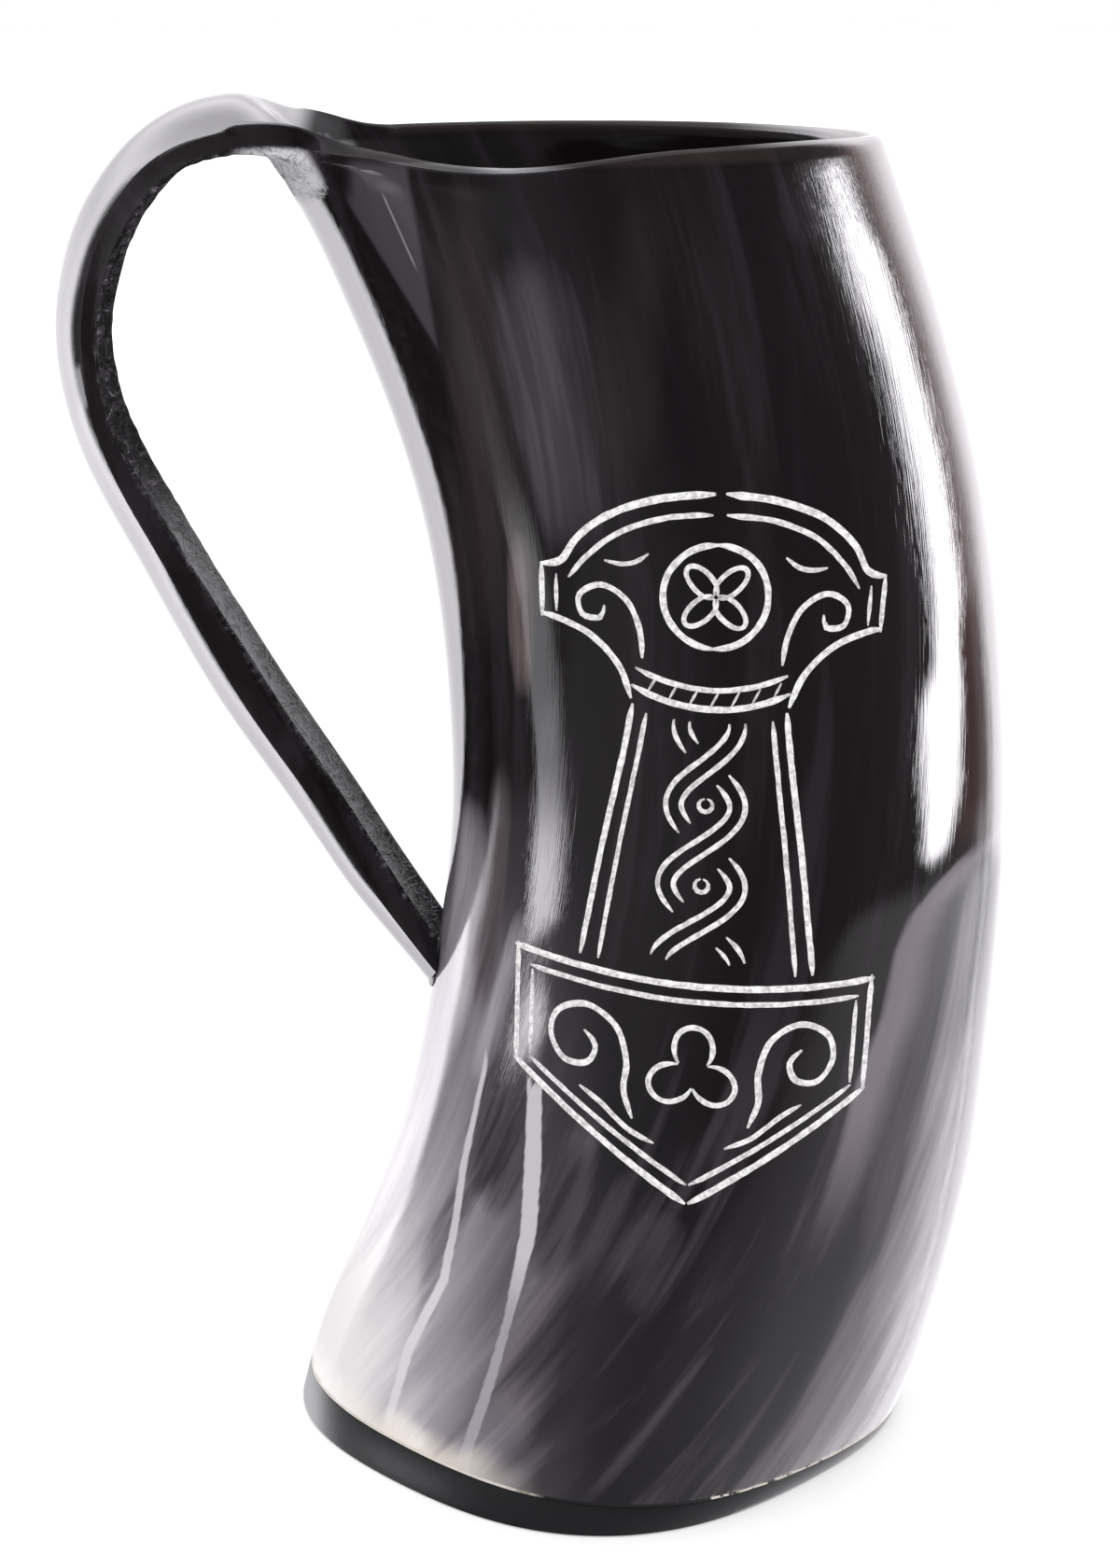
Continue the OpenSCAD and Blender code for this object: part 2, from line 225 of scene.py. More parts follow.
def root_middle(across, t):
    """The root's middle sheet, from the rim at 0 to the strap at 1."""
    degrees = 180 + ROOT_ANGLE * math.sin(math.pi / 2 * across)
    z = rim_height(degrees) + LIP_SPARE - ROOT_DEPTH * math.cos(math.pi / 2 * across)
    start = wall_point(degrees, z, WALL / 2)
    up = (start - wall_point(degrees, z - SMALL * CUP_HEIGHT, WALL / 2)).normalized()
    along = (wall_point(degrees + (-1 if across > 0 else 1), z, WALL / 2) - start).normalized()
    heading = (up * math.cos(math.pi / 2 * across)
               + along * abs(math.sin(math.pi / 2 * across))).normalized()
    end = strap_middle(across, 0)
    span = (end - start).length
    landing = Vector((path_heading(0).x, 0, path_heading(0).y)) * span * ROOT_LANDING
    return ease(start, heading * span, end, landing, t)


def skin(across, s):
    """The root's middle sheet for s below 0, and the strap's above."""
    return root_middle(across, s + 1) if s < 0 else strap_middle(across, s)


def wall_x(y, z):
    """Where the outside of the handle side is, at a place across and up."""
    degrees = 180.0
    for _ in range(ROUNDS):
        degrees = 180 - math.degrees(math.asin(y / (half_depth(z) * corner(degrees, z))))
    return wall_point(degrees, z).x


TIP_HEADING = path_heading(1)


def run_to_wall(p, clear):
    """Moves a point along the tip's heading until only a gap is left to the wall."""
    for _ in range(ROUNDS):
        short = wall_x(p.y, p.z) - clear - p.x
        p = p + Vector((TIP_HEADING.x, 0, TIP_HEADING.y)) * short / TIP_HEADING.x
    return p


# Modelling helpers
def clamped(value, low=0, high=1):
    return min(max(value, low), high)


def pick(obj):
    """Makes an object the active one, and the only one selected."""
    bpy.ops.object.select_all(action="DESELECT")
    bpy.context.view_layer.objects.active = obj
    obj.select_set(True)


def start_edit(obj):
    pick(obj)
    bpy.ops.object.mode_set(mode="EDIT")
    return bmesh.from_edit_mesh(obj.data)


def end_edit(obj):
    bmesh.update_edit_mesh(obj.data)
    bpy.ops.object.mode_set(mode="OBJECT")


def named(name):
    obj = bpy.context.object
    obj.name = obj.data.name = name
    return obj


def apply(obj, kind, **settings):
    pick(obj)
    mod = obj.modifiers.new(kind.title(), kind)
    for key, value in settings.items():
        setattr(mod, key, value)
    bpy.ops.object.modifier_apply(modifier=mod.name)


def outward(obj):
    start_edit(obj)
    bpy.ops.mesh.select_all(action="SELECT")
    bpy.ops.mesh.normals_make_consistent(inside=False)
    end_edit(obj)


def smooth(obj, degrees=40):
    pick(obj)
    bpy.ops.object.shade_smooth_by_angle(angle=math.radians(degrees))


def start_ring(name, count, radius, place, filled=False):
    """A new object in edit mode: one ring of corners, selected, each knowing its column."""
    bpy.ops.object.select_all(action="DESELECT")
    bpy.ops.mesh.primitive_circle_add(vertices=count, radius=radius,
                                      fill_type="NGON" if filled else "NOTHING")
    obj = named(name)
    bm = start_edit(obj)
    column = bm.verts.layers.int.new("column")
    for i, v in enumerate(bm.verts):
        v[column] = i
        v.co = place(i)
    bmesh.update_edit_mesh(obj.data)
    bpy.ops.mesh.select_all(action="SELECT")
    return obj


def extrude_ring(obj, place):
    """Extrudes the selected ring or row of edges, and sets each new corner by its column."""
    bpy.ops.mesh.extrude_region_move(TRANSFORM_OT_translate={"value": (0, 0, MM)})
    bm = bmesh.from_edit_mesh(obj.data)
    column = bm.verts.layers.int["column"]
    for v in bm.verts:
        if v.select:
            v.co = place(v[column])
    return bm


def pick_row(bm, test):
    """Selects the edges of the last row whose two corners pass a test."""
    for v in bm.verts:
        v.select_set(False)
    bm.select_flush(False)
    for e in bm.edges:
        if all(test(v) for v in e.verts):
            e.select_set(True)
    bm.select_flush_mode()


def holds(v, group):
    """Whether a corner is in a vertex group for more than half."""
    return any(g.group == group and g.weight > 0.5 for g in v.groups)


# Horn and strap
# The rows above the rim: the strap's root runs from -1 to 0, the strap from 0 to 1
STATIONS = [j / ROOT_RINGS - 1 for j in range(1, ROOT_RINGS + 1)]
STATIONS += [j / STRAP_RINGS for j in range(1, STRAP_RINGS + 1)]
LAST_ROW = WALL_ROWS + len(STATIONS)
ROW_CROWDING = 1.35        # above 1 the wall's rows crowd together at the foot
STRAP_EDGE_CREASE = 0.55
FAR_SIDE = Vector((0.055, 0, 0.09))


def wall_row(row):
    """What gives the place of each corner in one row of the wall."""
    def place(i):
        degrees = column_degrees(i)
        low = on_cut(degrees, WALL / 2).z
        high = rim_height(degrees) + LIP_SPARE - column_drop(i)
        if row < WALL_ROWS:
            high = low + (high - LIP_BAND - low) * (row / (WALL_ROWS - 1)) ** ROW_CROWDING
        return wall_point(degrees, high, WALL / 2)
    return place


def number_row(bm, row):
    layer = bm.verts.layers.int["row"]
    for v in bm.verts:
        if v.select:
            v[layer] = row


def grow_sheet():
    """The middle of the wall as one sheet, and the middle of the strap out of its rim."""
    obj = start_ring("horn_cup", ROOT_STEPS + WALL_STEPS, BASE_WIDTH / 2,
                     lambda i: on_cut(column_degrees(i), WALL / 2))
    bm = bmesh.from_edit_mesh(obj.data)
    bm.verts.layers.int.new("row")
    for row in range(1, WALL_ROWS + 1):
        bm = extrude_ring(obj, wall_row(row))
        number_row(bm, row)
    rows, columns = bm.verts.layers.int["row"], bm.verts.layers.int["column"]
    pick_row(bm, lambda v: v[rows] == WALL_ROWS and v[columns] <= ROOT_STEPS)
    for j, s in enumerate(STATIONS):
        bm = extrude_ring(obj, lambda i, s=s: skin(2 * i / ROOT_STEPS - 1, s))
        number_row(bm, WALL_ROWS + 1 + j)
    end_edit(obj)
    outward(obj)
    # outward means away from the cup's axis on the wall
    probe = min(obj.data.polygons, key=lambda f: (f.center - FAR_SIDE).length)
    if probe.normal.x < 0:
        obj.data.flip_normals()
    return obj


def thicken(obj):
    """Gives the sheet its thickness, and marks the parts that the next steps work on."""
    rows = [item.value for item in obj.data.attributes["row"].data]
    groups = {name: obj.vertex_groups.new(name=name)
              for name in ("foot", "tip", "strap", "thick", "shell")}
    for i, row in enumerate(rows):
        s = STATIONS[row - WALL_ROWS - 1] if row > WALL_ROWS else -1
        if s < 0:
            thick = WALL + (STRAP_THICKNESS_TOP - WALL) * (s + 1)
        else:
            thick = strap_thickness(s)
        groups["thick"].add([i], thick / STRAP_THICKNESS_TOP, "REPLACE")
        groups["strap"].add([i], clamped((s + 1) / 2), "REPLACE")
        if row == 0:
            groups["foot"].add([i], 1, "REPLACE")
        if row == LAST_ROW:
            groups["tip"].add([i], 1, "REPLACE")
    apply(obj, "SOLIDIFY", thickness=STRAP_THICKNESS_TOP, offset=0.0, use_even_offset=True,
          use_rim=True, vertex_group="thick", thickness_vertex_group=0.0,
          shell_vertex_group="shell")


def shape_strap(obj):
    """The strap bulges a little, and its outer face falls away towards its two edges."""
    mesh, shell = obj.data, obj.vertex_groups["shell"].index
    columns, rows = mesh.attributes["column"].data, mesh.attributes["row"].data
    half_count = len(mesh.vertices) // 2
    levels, gap_bulge, outer_bulge = zip(*STRAP_BULGE)
    shifts = []
    for v in mesh.vertices:
        column, station = columns[v.index].value, rows[v.index].value - WALL_ROWS - 1
        if station < ROOT_RINGS // 2 or column > ROOT_STEPS:
            continue
        fade = min((station - ROOT_RINGS // 2) / 5, (LAST_ROW - WALL_ROWS - 1 - station) / 4, 1)
        partner = mesh.vertices[(v.index + half_count) % (2 * half_count)]
        level = clamped(v.co.z / MM, levels[0], levels[-1])
        if holds(v, shell):
            edge = clamped((abs(2 * column / ROOT_STEPS - 1) - 0.35) / 0.65)
            upper = clamped((v.co.z - 0.09) / 0.06, 0.7)
            shift = STRAP_EDGE_FALL * upper * edge**1.5 - curve(level, levels, outer_bulge) * MM
        else:
            shift = curve(level, levels, gap_bulge) * MM
        shifts.append((v, (partner.co - v.co).normalized() * (shift * max(fade, 0))))
    for v, shift in shifts:
        v.co += shift


def cut_ends(obj):
    """The cut end lies flat on the seal, and the tip is cut along the wall."""
    mesh = obj.data
    foot, tip, shell = (obj.vertex_groups[name].index for name in ("foot", "tip", "shell"))
    columns = [item.value for item in mesh.attributes["column"].data]
    rows = [item.value for item in mesh.attributes["row"].data]
    in_foot = {v.index for v in mesh.vertices if holds(v, foot)}
    in_tip = {v.index for v in mesh.vertices if holds(v, tip)}
    strap_edge = {v.index for v in mesh.vertices
                  if columns[v.index] in (0, ROOT_STEPS) and holds(v, shell)
                  and rows[v.index] > WALL_ROWS + ROOT_RINGS - 2}
    for i in in_foot:
        inset = WALL if holds(mesh.vertices[i], shell) else 0
        mesh.vertices[i].co = on_cut(column_degrees(columns[i]), inset)
    for i in in_tip:
        mesh.vertices[i].co = run_to_wall(mesh.vertices[i].co.copy(), GLUE_THICKNESS)
    crease = mesh.attributes.new("crease_edge", "FLOAT", "EDGE")
    for e in mesh.edges:
        pair = set(e.vertices)
        if pair <= in_foot or pair <= in_tip:
            crease.data[e.index].value = 1.0
        elif pair <= strap_edge and columns[e.vertices[0]] == columns[e.vertices[1]]:
            crease.data[e.index].value = STRAP_EDGE_CREASE
    apply(obj, "SUBSURF", levels=2, render_levels=2)


def roughen_gap_side(obj):
    """The strap's gap side stays rough from the saw: it is marked and roughened."""
    mesh = obj.data
    strap, shell = obj.vertex_groups["strap"].index, obj.vertex_groups["shell"].index
    moves, on_strap, gap_side = [], [], []
    for v in mesh.vertices:
        held = {g.group: g.weight for g in v.groups}
        along, inner = held.get(strap, 0), 1 - held.get(shell, 0)
        on_strap.append(along)
        rough = clamped(along * 6 - 0.6) * clamped((inner - 0.72) / 0.25)
        gap_side.append(rough)
        if rough > 0.02:
            grain = noise.noise(Vector((v.co.x * 900, v.co.y * 330, v.co.z * 900)))
            chip = abs(noise.noise(Vector((v.co.x * 260 + 7, v.co.y * 140, v.co.z * 260))))
            fade = rough * clamped((v.co.z - 0.1) / 0.03)
            moves.append((v, v.normal * ((grain * 0.14 - chip * 0.2) * MM * fade)))
    for v, move in moves:
        v.co += move
    for name, values in (("on_strap", on_strap), ("gap_side", gap_side)):
        mesh.attributes.new(name, "FLOAT", "POINT").data.foreach_set("value", values)


def make_horn():
    """The wall and the strap are one piece of horn, as they are on the real cup."""
    obj = grow_sheet()
    thicken(obj)
    shape_strap(obj)
    cut_ends(obj)
    roughen_gap_side(obj)
    return obj


horn = make_horn()


# Base plate, seal and glue
PLATE_SIDES = 180
# The plate's outline in millimetres, as pairs of inset and height: from the table up, then
# at the seam, then at the plug's upper edge, where the height is counted down from the top
PLATE_UNDERSIDE_INSET = 1.6
PLATE_FOOT = [(0.5, 0), (0.12, 0.22), (0, 0.7)]
PLATE_SHOULDER = [(0, -0.5), (0.1, -0.12), (0.45, 0)]
PLUG_EDGE = [(0, 0.6), (0.15, 0.15), (0.6, 0)]
PLUG_STEP = 0.3
SEAL_COLUMNS = 360
SEAL_INSET = 0.02 * MM
SEAL_SWELL = 0.03 * MM
SEAL_UNEVEN = 0.1 * MM
GLUE_COLUMNS = 40
GLUE_HALF_WIDTH, GLUE_HALF_HEIGHT, GLUE_RAISE = 6.6 * MM, 2.6 * MM, 0.8 * MM
# The pad's rings in millimetres: distance off the wall, and how far past the tip
GLUE_RINGS = [(0.02, 0.5), (0.12, 0.5), (0.28, 0.25), (0.4, 0.0)]


def ring_points(inset, lift=None, z=None):
    step = 360 / PLATE_SIDES
    if z is not None:
        return [wall_point(k * step, z, inset) for k in range(PLATE_SIDES)]
    return [on_cut(k * step, inset, lift) for k in range(PLATE_SIDES)]


def make_plate():
    """A disc drawn up from the table, stepped in at the seam, up to the floor of the cup."""
    underside = ring_points(PLATE_UNDERSIDE_INSET * MM, z=0)
    seam, inside = -SEAL_THICKNESS, WALL + PLUG_CLEARANCE
    levels = [ring_points(inset * MM, z=up * MM) for inset, up in PLATE_FOOT]
    levels += [ring_points(inset * MM, lift=seam + up * MM) for inset, up in PLATE_SHOULDER]
    levels += [ring_points(inside, lift=seam), ring_points(inside, lift=seam + PLUG_STEP * MM)]
    levels += [ring_points(inside + inset * MM, lift=PLUG_HEIGHT - down * MM)
               for inset, down in PLUG_EDGE]
    obj = start_ring("base_plate_dark", PLATE_SIDES, BASE_WIDTH / 2, lambda i: underside[i],
                     filled=True)
    for level in levels:
        extrude_ring(obj, lambda i, level=level: level[i])
    end_edit(obj)
    outward(obj)
    return obj


def make_seal():
    """A bead of sealant with a slightly uneven outer edge, which the horn is set down in."""
    def uneven(degrees):
        a = math.radians(degrees)
        return (0.5 + 0.5 * math.sin(7 * a + 1.3) * math.sin(13 * a)
                + 0.35 * math.sin(41 * a + 0.4)) * SEAL_UNEVEN

    def place(row):
        def at(i):
            degrees = i * 360 / SEAL_COLUMNS
            out = SEAL_INSET + uneven(degrees) * 0.4
            inset, lift = [(out, -SEAL_THICKNESS), (out - SEAL_SWELL, -0.75 * SEAL_THICKNESS),
                           (out - SEAL_SWELL, -0.25 * SEAL_THICKNESS), (out, 0),
                           (WALL, 0), (WALL, -SEAL_THICKNESS)][row]
            return on_cut(degrees, inset, lift)
        return at

    obj = start_ring("seam_sealant", SEAL_COLUMNS, BASE_WIDTH / 2, place(0))
    for row in range(1, 6):
        extrude_ring(obj, place(row))
    bpy.ops.mesh.select_all(action="DESELECT")
    for e in bmesh.from_edit_mesh(obj.data).edges:
        if e.is_boundary:
            e.select_set(True)
    bpy.ops.mesh.bridge_edge_loops()
    end_edit(obj)
    outward(obj)
    return obj


def make_glue():
    """The squeezed pad under the strap's tip, a little wider than the tip."""
    centre = skin(0, 1)

    def place(clear, grow):
        def at(i):
            a = 2 * math.pi * i / GLUE_COLUMNS
            y = TIP_OFFSET + math.cos(a) * (GLUE_HALF_WIDTH + grow * MM)
            z = centre.z + math.sin(a) * (GLUE_HALF_HEIGHT + grow * MM) + GLUE_RAISE
            return Vector((wall_x(y, z) - clear * MM, y, z))
        return at

    obj = start_ring("glue_pad", GLUE_COLUMNS, GLUE_HALF_WIDTH, place(*GLUE_RINGS[0]),
                     filled=True)
    for clear, grow in GLUE_RINGS[1:]:
        extrude_ring(obj, place(clear, grow))
    end_edit(obj)
    outward(obj)
    return obj


plate = make_plate()
seal = make_seal()
glue = make_glue()


# Carving
# The pendant's own frame: across and up from its middle on the front of the horn
PENDANT_AT, PENDANT_LEAN = (12.0, 91.0), math.radians(2.0)
# Its plait, collar and ring, in millimetres in that frame
PLAIT_FOOT, PLAIT_STEP = -13.6, 10.2
PLAIT_START, PLAIT_LENGTH = -13.2, 30.4
PLAIT_SWING, PLAIT_NARROWING, WIDEST_AT = 4.9, 0.05, -14
STRAND_HALF = 0.95         # half the distance between a strand's two lines
PASS_HALF = 1.75           # half the gap in a strand that passes under the other
COLLAR_AT, UPPER_COLLAR_AT, COLLAR_RADIUS = 41.4, 43.8, 22.6
RING_AT, RING_RADIUS = 32.6, 6.3
# The grooves
GROOVE_SHARE = 0.46        # half width at the surface, as a share of the line's width
GROOVE_FLOOR = 0.42        # width of the floor, as a share of that at the surface
GROOVE_DEPTH = 0.34 * MM
GROOVE_TAPER = 1.7 * MM    # length over which an end runs out
GROOVE_MARGIN = 0.8        # room round a line in millimetres, for telling which lines cross
BAR_RISE = 0.3 * MM        # how far the cutting bar stands out of the horn
RAY_FROM = -80 * MM        # in front of the cup


def smooth_line(points, step=0.55):
    """Points every half millimetre or so on a smooth line through the given ones."""
    out = []
    for i in range(len(points) - 1):
        a = points[max(i - 1, 0)]
        b, c = points[i], points[i + 1]
        d = points[min(i + 2, len(points) - 1)]
        count = max(int(math.dist(b, c) / step), 1)
        for k in range(count):
            t = k / count
            out.append(tuple(ease(b[n], (c[n] - a[n]) / 2, c[n], (d[n] - b[n]) / 2, t)
                             for n in (0, 1)))
    out.append(tuple(points[-1]))
    return out


def straight(a, b, step=0.6):
    """Points at even steps from one place to another."""
    count = max(int(math.dist(a, b) / step), 2)
    return [(a[0] + (b[0] - a[0]) * k / count, a[1] + (b[1] - a[1]) * k / count)
            for k in range(count + 1)]


def arc(height, radius, start, end, step=0.5):
    """Part of a circle round a point on the pendant's middle line."""
    span = math.radians(end - start)
    count = max(int(abs(span) * radius / step), 4)
    return [(radius * math.cos(math.radians(start) + span * k / count),
             height + radius * math.sin(math.radians(start) + span * k / count))
            for k in range(count + 1)]


def mirrored(line):
    return [(-u, w) for u, w in line]


def plait():
    """Two strands that cross on their way up, each of two lines that stop at a crossing."""
    parts = []
    crossings = [PLAIT_FOOT + PLAIT_STEP * k + PLAIT_STEP / 2 for k in range(3)]
    for side in (1, -1):
        for off in (STRAND_HALF, -STRAND_HALF):
            strand = []
            for n in range(91):
                w = PLAIT_START + PLAIT_LENGTH * n / 90
                swing = PLAIT_SWING - PLAIT_NARROWING * (w - WIDEST_AT)
                turn = math.pi * (w - PLAIT_FOOT) / PLAIT_STEP
                slope = -swing * math.pi / PLAIT_STEP * math.sin(turn)
                long = math.hypot(slope, 1)
                under = any(abs(w - at) < PASS_HALF and (i % 2 == 0) == (side > 0)
                            for i, at in enumerate(crossings))
                if under:
                    parts.append(strand)
                    strand = []
                else:
                    strand.append((side * (swing * math.cos(turn) + off / long),
                                   w - off * slope / long))
            parts.append(strand)
    return [part for part in parts if len(part) > 3]


def pendant_lines():
    """Each line as its points in the pendant's frame and its width, in millimetres."""
    lines = []

    def both(line, width):
        lines.append((line, width))
        lines.append((mirrored(line), width))

    # head: a double outline that comes to a point
    lines.append((straight((-22.6, -16.4), (22.6, -16.4)), 1.0))
    lines.append((straight((-20.6, -18.4), (20.6, -18.4)), 0.8))
    both(straight((22.2, -15.9), (22.0, -31.4)), 1.0)
    both(straight((20.3, -18.9), (20.2, -30.0)), 0.8)
    both(straight((22.3, -31.0), (0.15, -44.9)), 1.05)
    both(straight((20.3, -30.3), (0.15, -42.4)), 0.8)
    # in the head: a trefoil knot, and a running scroll and a short line to each side
    for k in range(3):
        turn = math.radians(90 + 120 * k)
        knot = []
        for n in range(41):
            a = math.radians(-112 + 224 * n / 40)
            r = 3.1 * (1 + 0.9 * math.cos(a))
            c, q = math.cos(a * 0.52), math.sin(a * 0.52)
            knot.append((r * (c * math.cos(turn) - q * math.sin(turn)),
                         -27.6 + r * (c * math.sin(turn) + q * math.cos(turn))))
        lines.append((knot, 0.8))
    both(smooth_line([(7.2, -34.6), (8.4, -31.2), (8.2, -27.4), (9.6, -23.2), (13.2, -21.2),
                      (16.8, -22.9), (17.7, -26.3), (15.9, -29.0), (13.0, -28.6),
                      (12.1, -26.2), (13.6, -24.6)]), 0.95)
    both(smooth_line([(4.4, -37.4), (7.8, -36.0), (11.2, -33.4), (13.9, -31.9)]), 0.8)

    # shaft: two straight borders, and two strands that plait up between them
    both(smooth_line([(14.4, -14.9), (12.2, 0.0), (10.2, 12.0), (9.3, 18.6)]), 0.95)
    both(smooth_line([(12.2, -14.9), (10.2, 0.0), (8.4, 12.0), (7.6, 17.6)]), 0.75)
    lines += [(strand, 0.75) for strand in plait()]
    for k in range(2):
        lines.append((arc(-3.4 + PLAIT_STEP * k, 0.85, 100, 440), 0.7))

    # collar between shaft and crown
    lines.append((arc(COLLAR_AT, COLLAR_RADIUS, 245, 295), 0.95))
    lines.append((arc(UPPER_COLLAR_AT, COLLAR_RADIUS, 246, 294), 0.8))
    for k in range(-3, 4):
        u = 2.5 * k
        w = COLLAR_AT - math.sqrt(COLLAR_RADIUS**2 - u * u)
        lines.append((straight((u, w + 0.3), (u + 0.9, w + 2.2), 0.4), 0.55))

    # crown: ears to each side, a double arch, a ring with four loops, and curled stems
    both(smooth_line([(9.5, 19.2), (11.2, 23.2), (14.6, 26.4), (18.6, 27.8), (20.8, 28.0)]), 1.0)
    both(straight((20.6, 27.6), (20.9, 34.6)), 0.95)
    both(straight((18.9, 28.6), (19.1, 33.4)), 0.7)
    both(smooth_line([(21.1, 34.3), (18.6, 35.2), (16.6, 38.6), (12.6, 42.0), (6.8, 44.2),
                      (0.6, 45.0)]), 1.05)
    both(smooth_line([(17.6, 33.2), (15.2, 36.6), (11.4, 39.9), (6.2, 41.9), (0.8, 42.5)]), 0.8)
    lines.append((arc(RING_AT, RING_RADIUS, -92, 92), 0.95))
    lines.append((arc(RING_AT, RING_RADIUS, 88, 272), 0.95))
    for k in range(4):
        turn = math.radians(45 + 90 * k)
        leaf = []
        for n in range(33):
            a = 2 * math.pi * n / 32 * 0.94 + 0.19
            long, wide = 2.45 * (1 - math.cos(a)), 1.25 * math.sin(a)
            leaf.append((long * math.cos(turn) - wide * math.sin(turn),
                         RING_AT + long * math.sin(turn) + wide * math.cos(turn)))
        lines.append((leaf, 0.7))
    both(smooth_line([(8.4, 24.4), (8.9, 28.0), (10.6, 31.4), (13.6, 32.9), (16.2, 31.3),
                      (15.8, 28.9), (13.6, 28.8), (13.2, 30.4)]), 0.85)
    both(smooth_line([(8.2, 37.4), (9.8, 36.2), (11.6, 35.8), (13.4, 36.0)]), 0.7)
    return lines


def cut_line(tree, line, width, number):
    """One groove: a tapered bar laid along the horn's surface, to be cut out of it."""
    count = len(line)
    lean_c, lean_s = math.cos(PENDANT_LEAN), math.sin(PENDANT_LEAN)
    spots = []
    for u, w in line:
        x = (PENDANT_AT[0] + u * lean_c + w * lean_s) * MM
        z = (PENDANT_AT[1] - u * lean_s + w * lean_c) * MM
        place, normal, _, _ = tree.ray_cast(Vector((x, RAY_FROM, z)), Vector((0, 1, 0)))
        spots.append((place, normal))
    length = sum((spots[i + 1][0] - spots[i][0]).length for i in range(count - 1))
    rings, run = [], 0.0
    for i, (place, normal) in enumerate(spots):
        ahead = spots[min(i + 1, count - 1)][0] - spots[max(i - 1, 0)][0]
        side = normal.cross(ahead).normalized()
        if i:
            run += (place - spots[i - 1][0]).length
        near = min(run, length - run) / GROOVE_TAPER
        swell = min(0.28 + 0.72 * near, 1) ** 0.8
        shake = 1 + 0.13 * noise.noise(Vector((number * 3.7, run * 900, 0.5)))
        half = GROOVE_SHARE * width * MM * swell * shake
        deep = GROOVE_DEPTH * (0.35 + 0.65 * swell)
        slip = side * (0.05 * MM * noise.noise(Vector((number * 1.9, run * 600, 4.5))))
        outer = half * (1 + 0.45 * BAR_RISE / deep)
        rings.append([place + slip + side * outer + normal * BAR_RISE,
                      place + slip - side * outer + normal * BAR_RISE,
                      place + slip - side * half * GROOVE_FLOOR - normal * deep,
                      place + slip + side * half * GROOVE_FLOOR - normal * deep])
    bar = start_ring("groove", 4, width * MM, lambda i: rings[0][i], filled=True)
    for ring in rings[1:]:
        extrude_ring(bar, lambda i, ring=ring: ring[i])
    end_edit(bar)
    outward(bar)
    return bar


def carve(horn, cut_finish):
    mesh = horn.data
    tree = BVHTree.FromPolygons([v.co for v in mesh.vertices],
                                [tuple(p.vertices) for p in mesh.polygons])
    # bars that keep clear of each other are cut out together
    sets = []
    for number, (line, width) in enumerate(pendant_lines()):
        across, up = zip(*line)
        box = [min(across) - GROOVE_MARGIN, min(up) - GROOVE_MARGIN,
               max(across) + GROOVE_MARGIN, max(up) + GROOVE_MARGIN]
        bar = cut_line(tree, line, width, number)
        for boxes, bars in sets:
            if all(box[0] > other[2] or box[2] < other[0] or box[1] > other[3]
                   or box[3] < other[1] for other in boxes):
                boxes.append(box)
                bars.append(bar)
                break
        else:
            sets.append(([box], [bar]))
    for _, bars in sets:
        bpy.ops.object.select_all(action="DESELECT")
        for bar in bars:
            bar.select_set(True)
        bpy.context.view_layer.objects.active = bars[0]
        if len(bars) > 1:
            bpy.ops.object.join()
        bar = bars[0]
        bar.data.materials.append(horn.data.materials[0])
        bar.data.materials.append(cut_finish)
        for f in bar.data.polygons:
            f.material_index = 1
        apply(horn, "BOOLEAN", operation="DIFFERENCE", object=bar, solver="MANIFOLD")
        bpy.data.objects.remove(bar)


# Shader words
class Wire:
    """A node's output that takes part in sums."""

    def __init__(self, bench, socket):
        self.bench, self.socket = bench, socket

    def math(self, operation, *others):
        return self.bench.node("ShaderNodeMath", {"operation": operation}, (self,) + others)

    def __add__(self, other):
        return self.math("ADD", other)

    __radd__ = __add__

    def __sub__(self, other):
        return self.math("SUBTRACT", other)

    def __rsub__(self, other):
        return self.bench.node("ShaderNodeMath", {"operation": "SUBTRACT"}, (other, self))

    def __mul__(self, other):
        return self.math("MULTIPLY", other)

    __rmul__ = __mul__

    def __truediv__(self, other):
        return self.math("DIVIDE", other)

    def __pow__(self, other):
        return self.math("POWER", other)

    def __neg__(self):
        return self.math("MULTIPLY", -1.0)


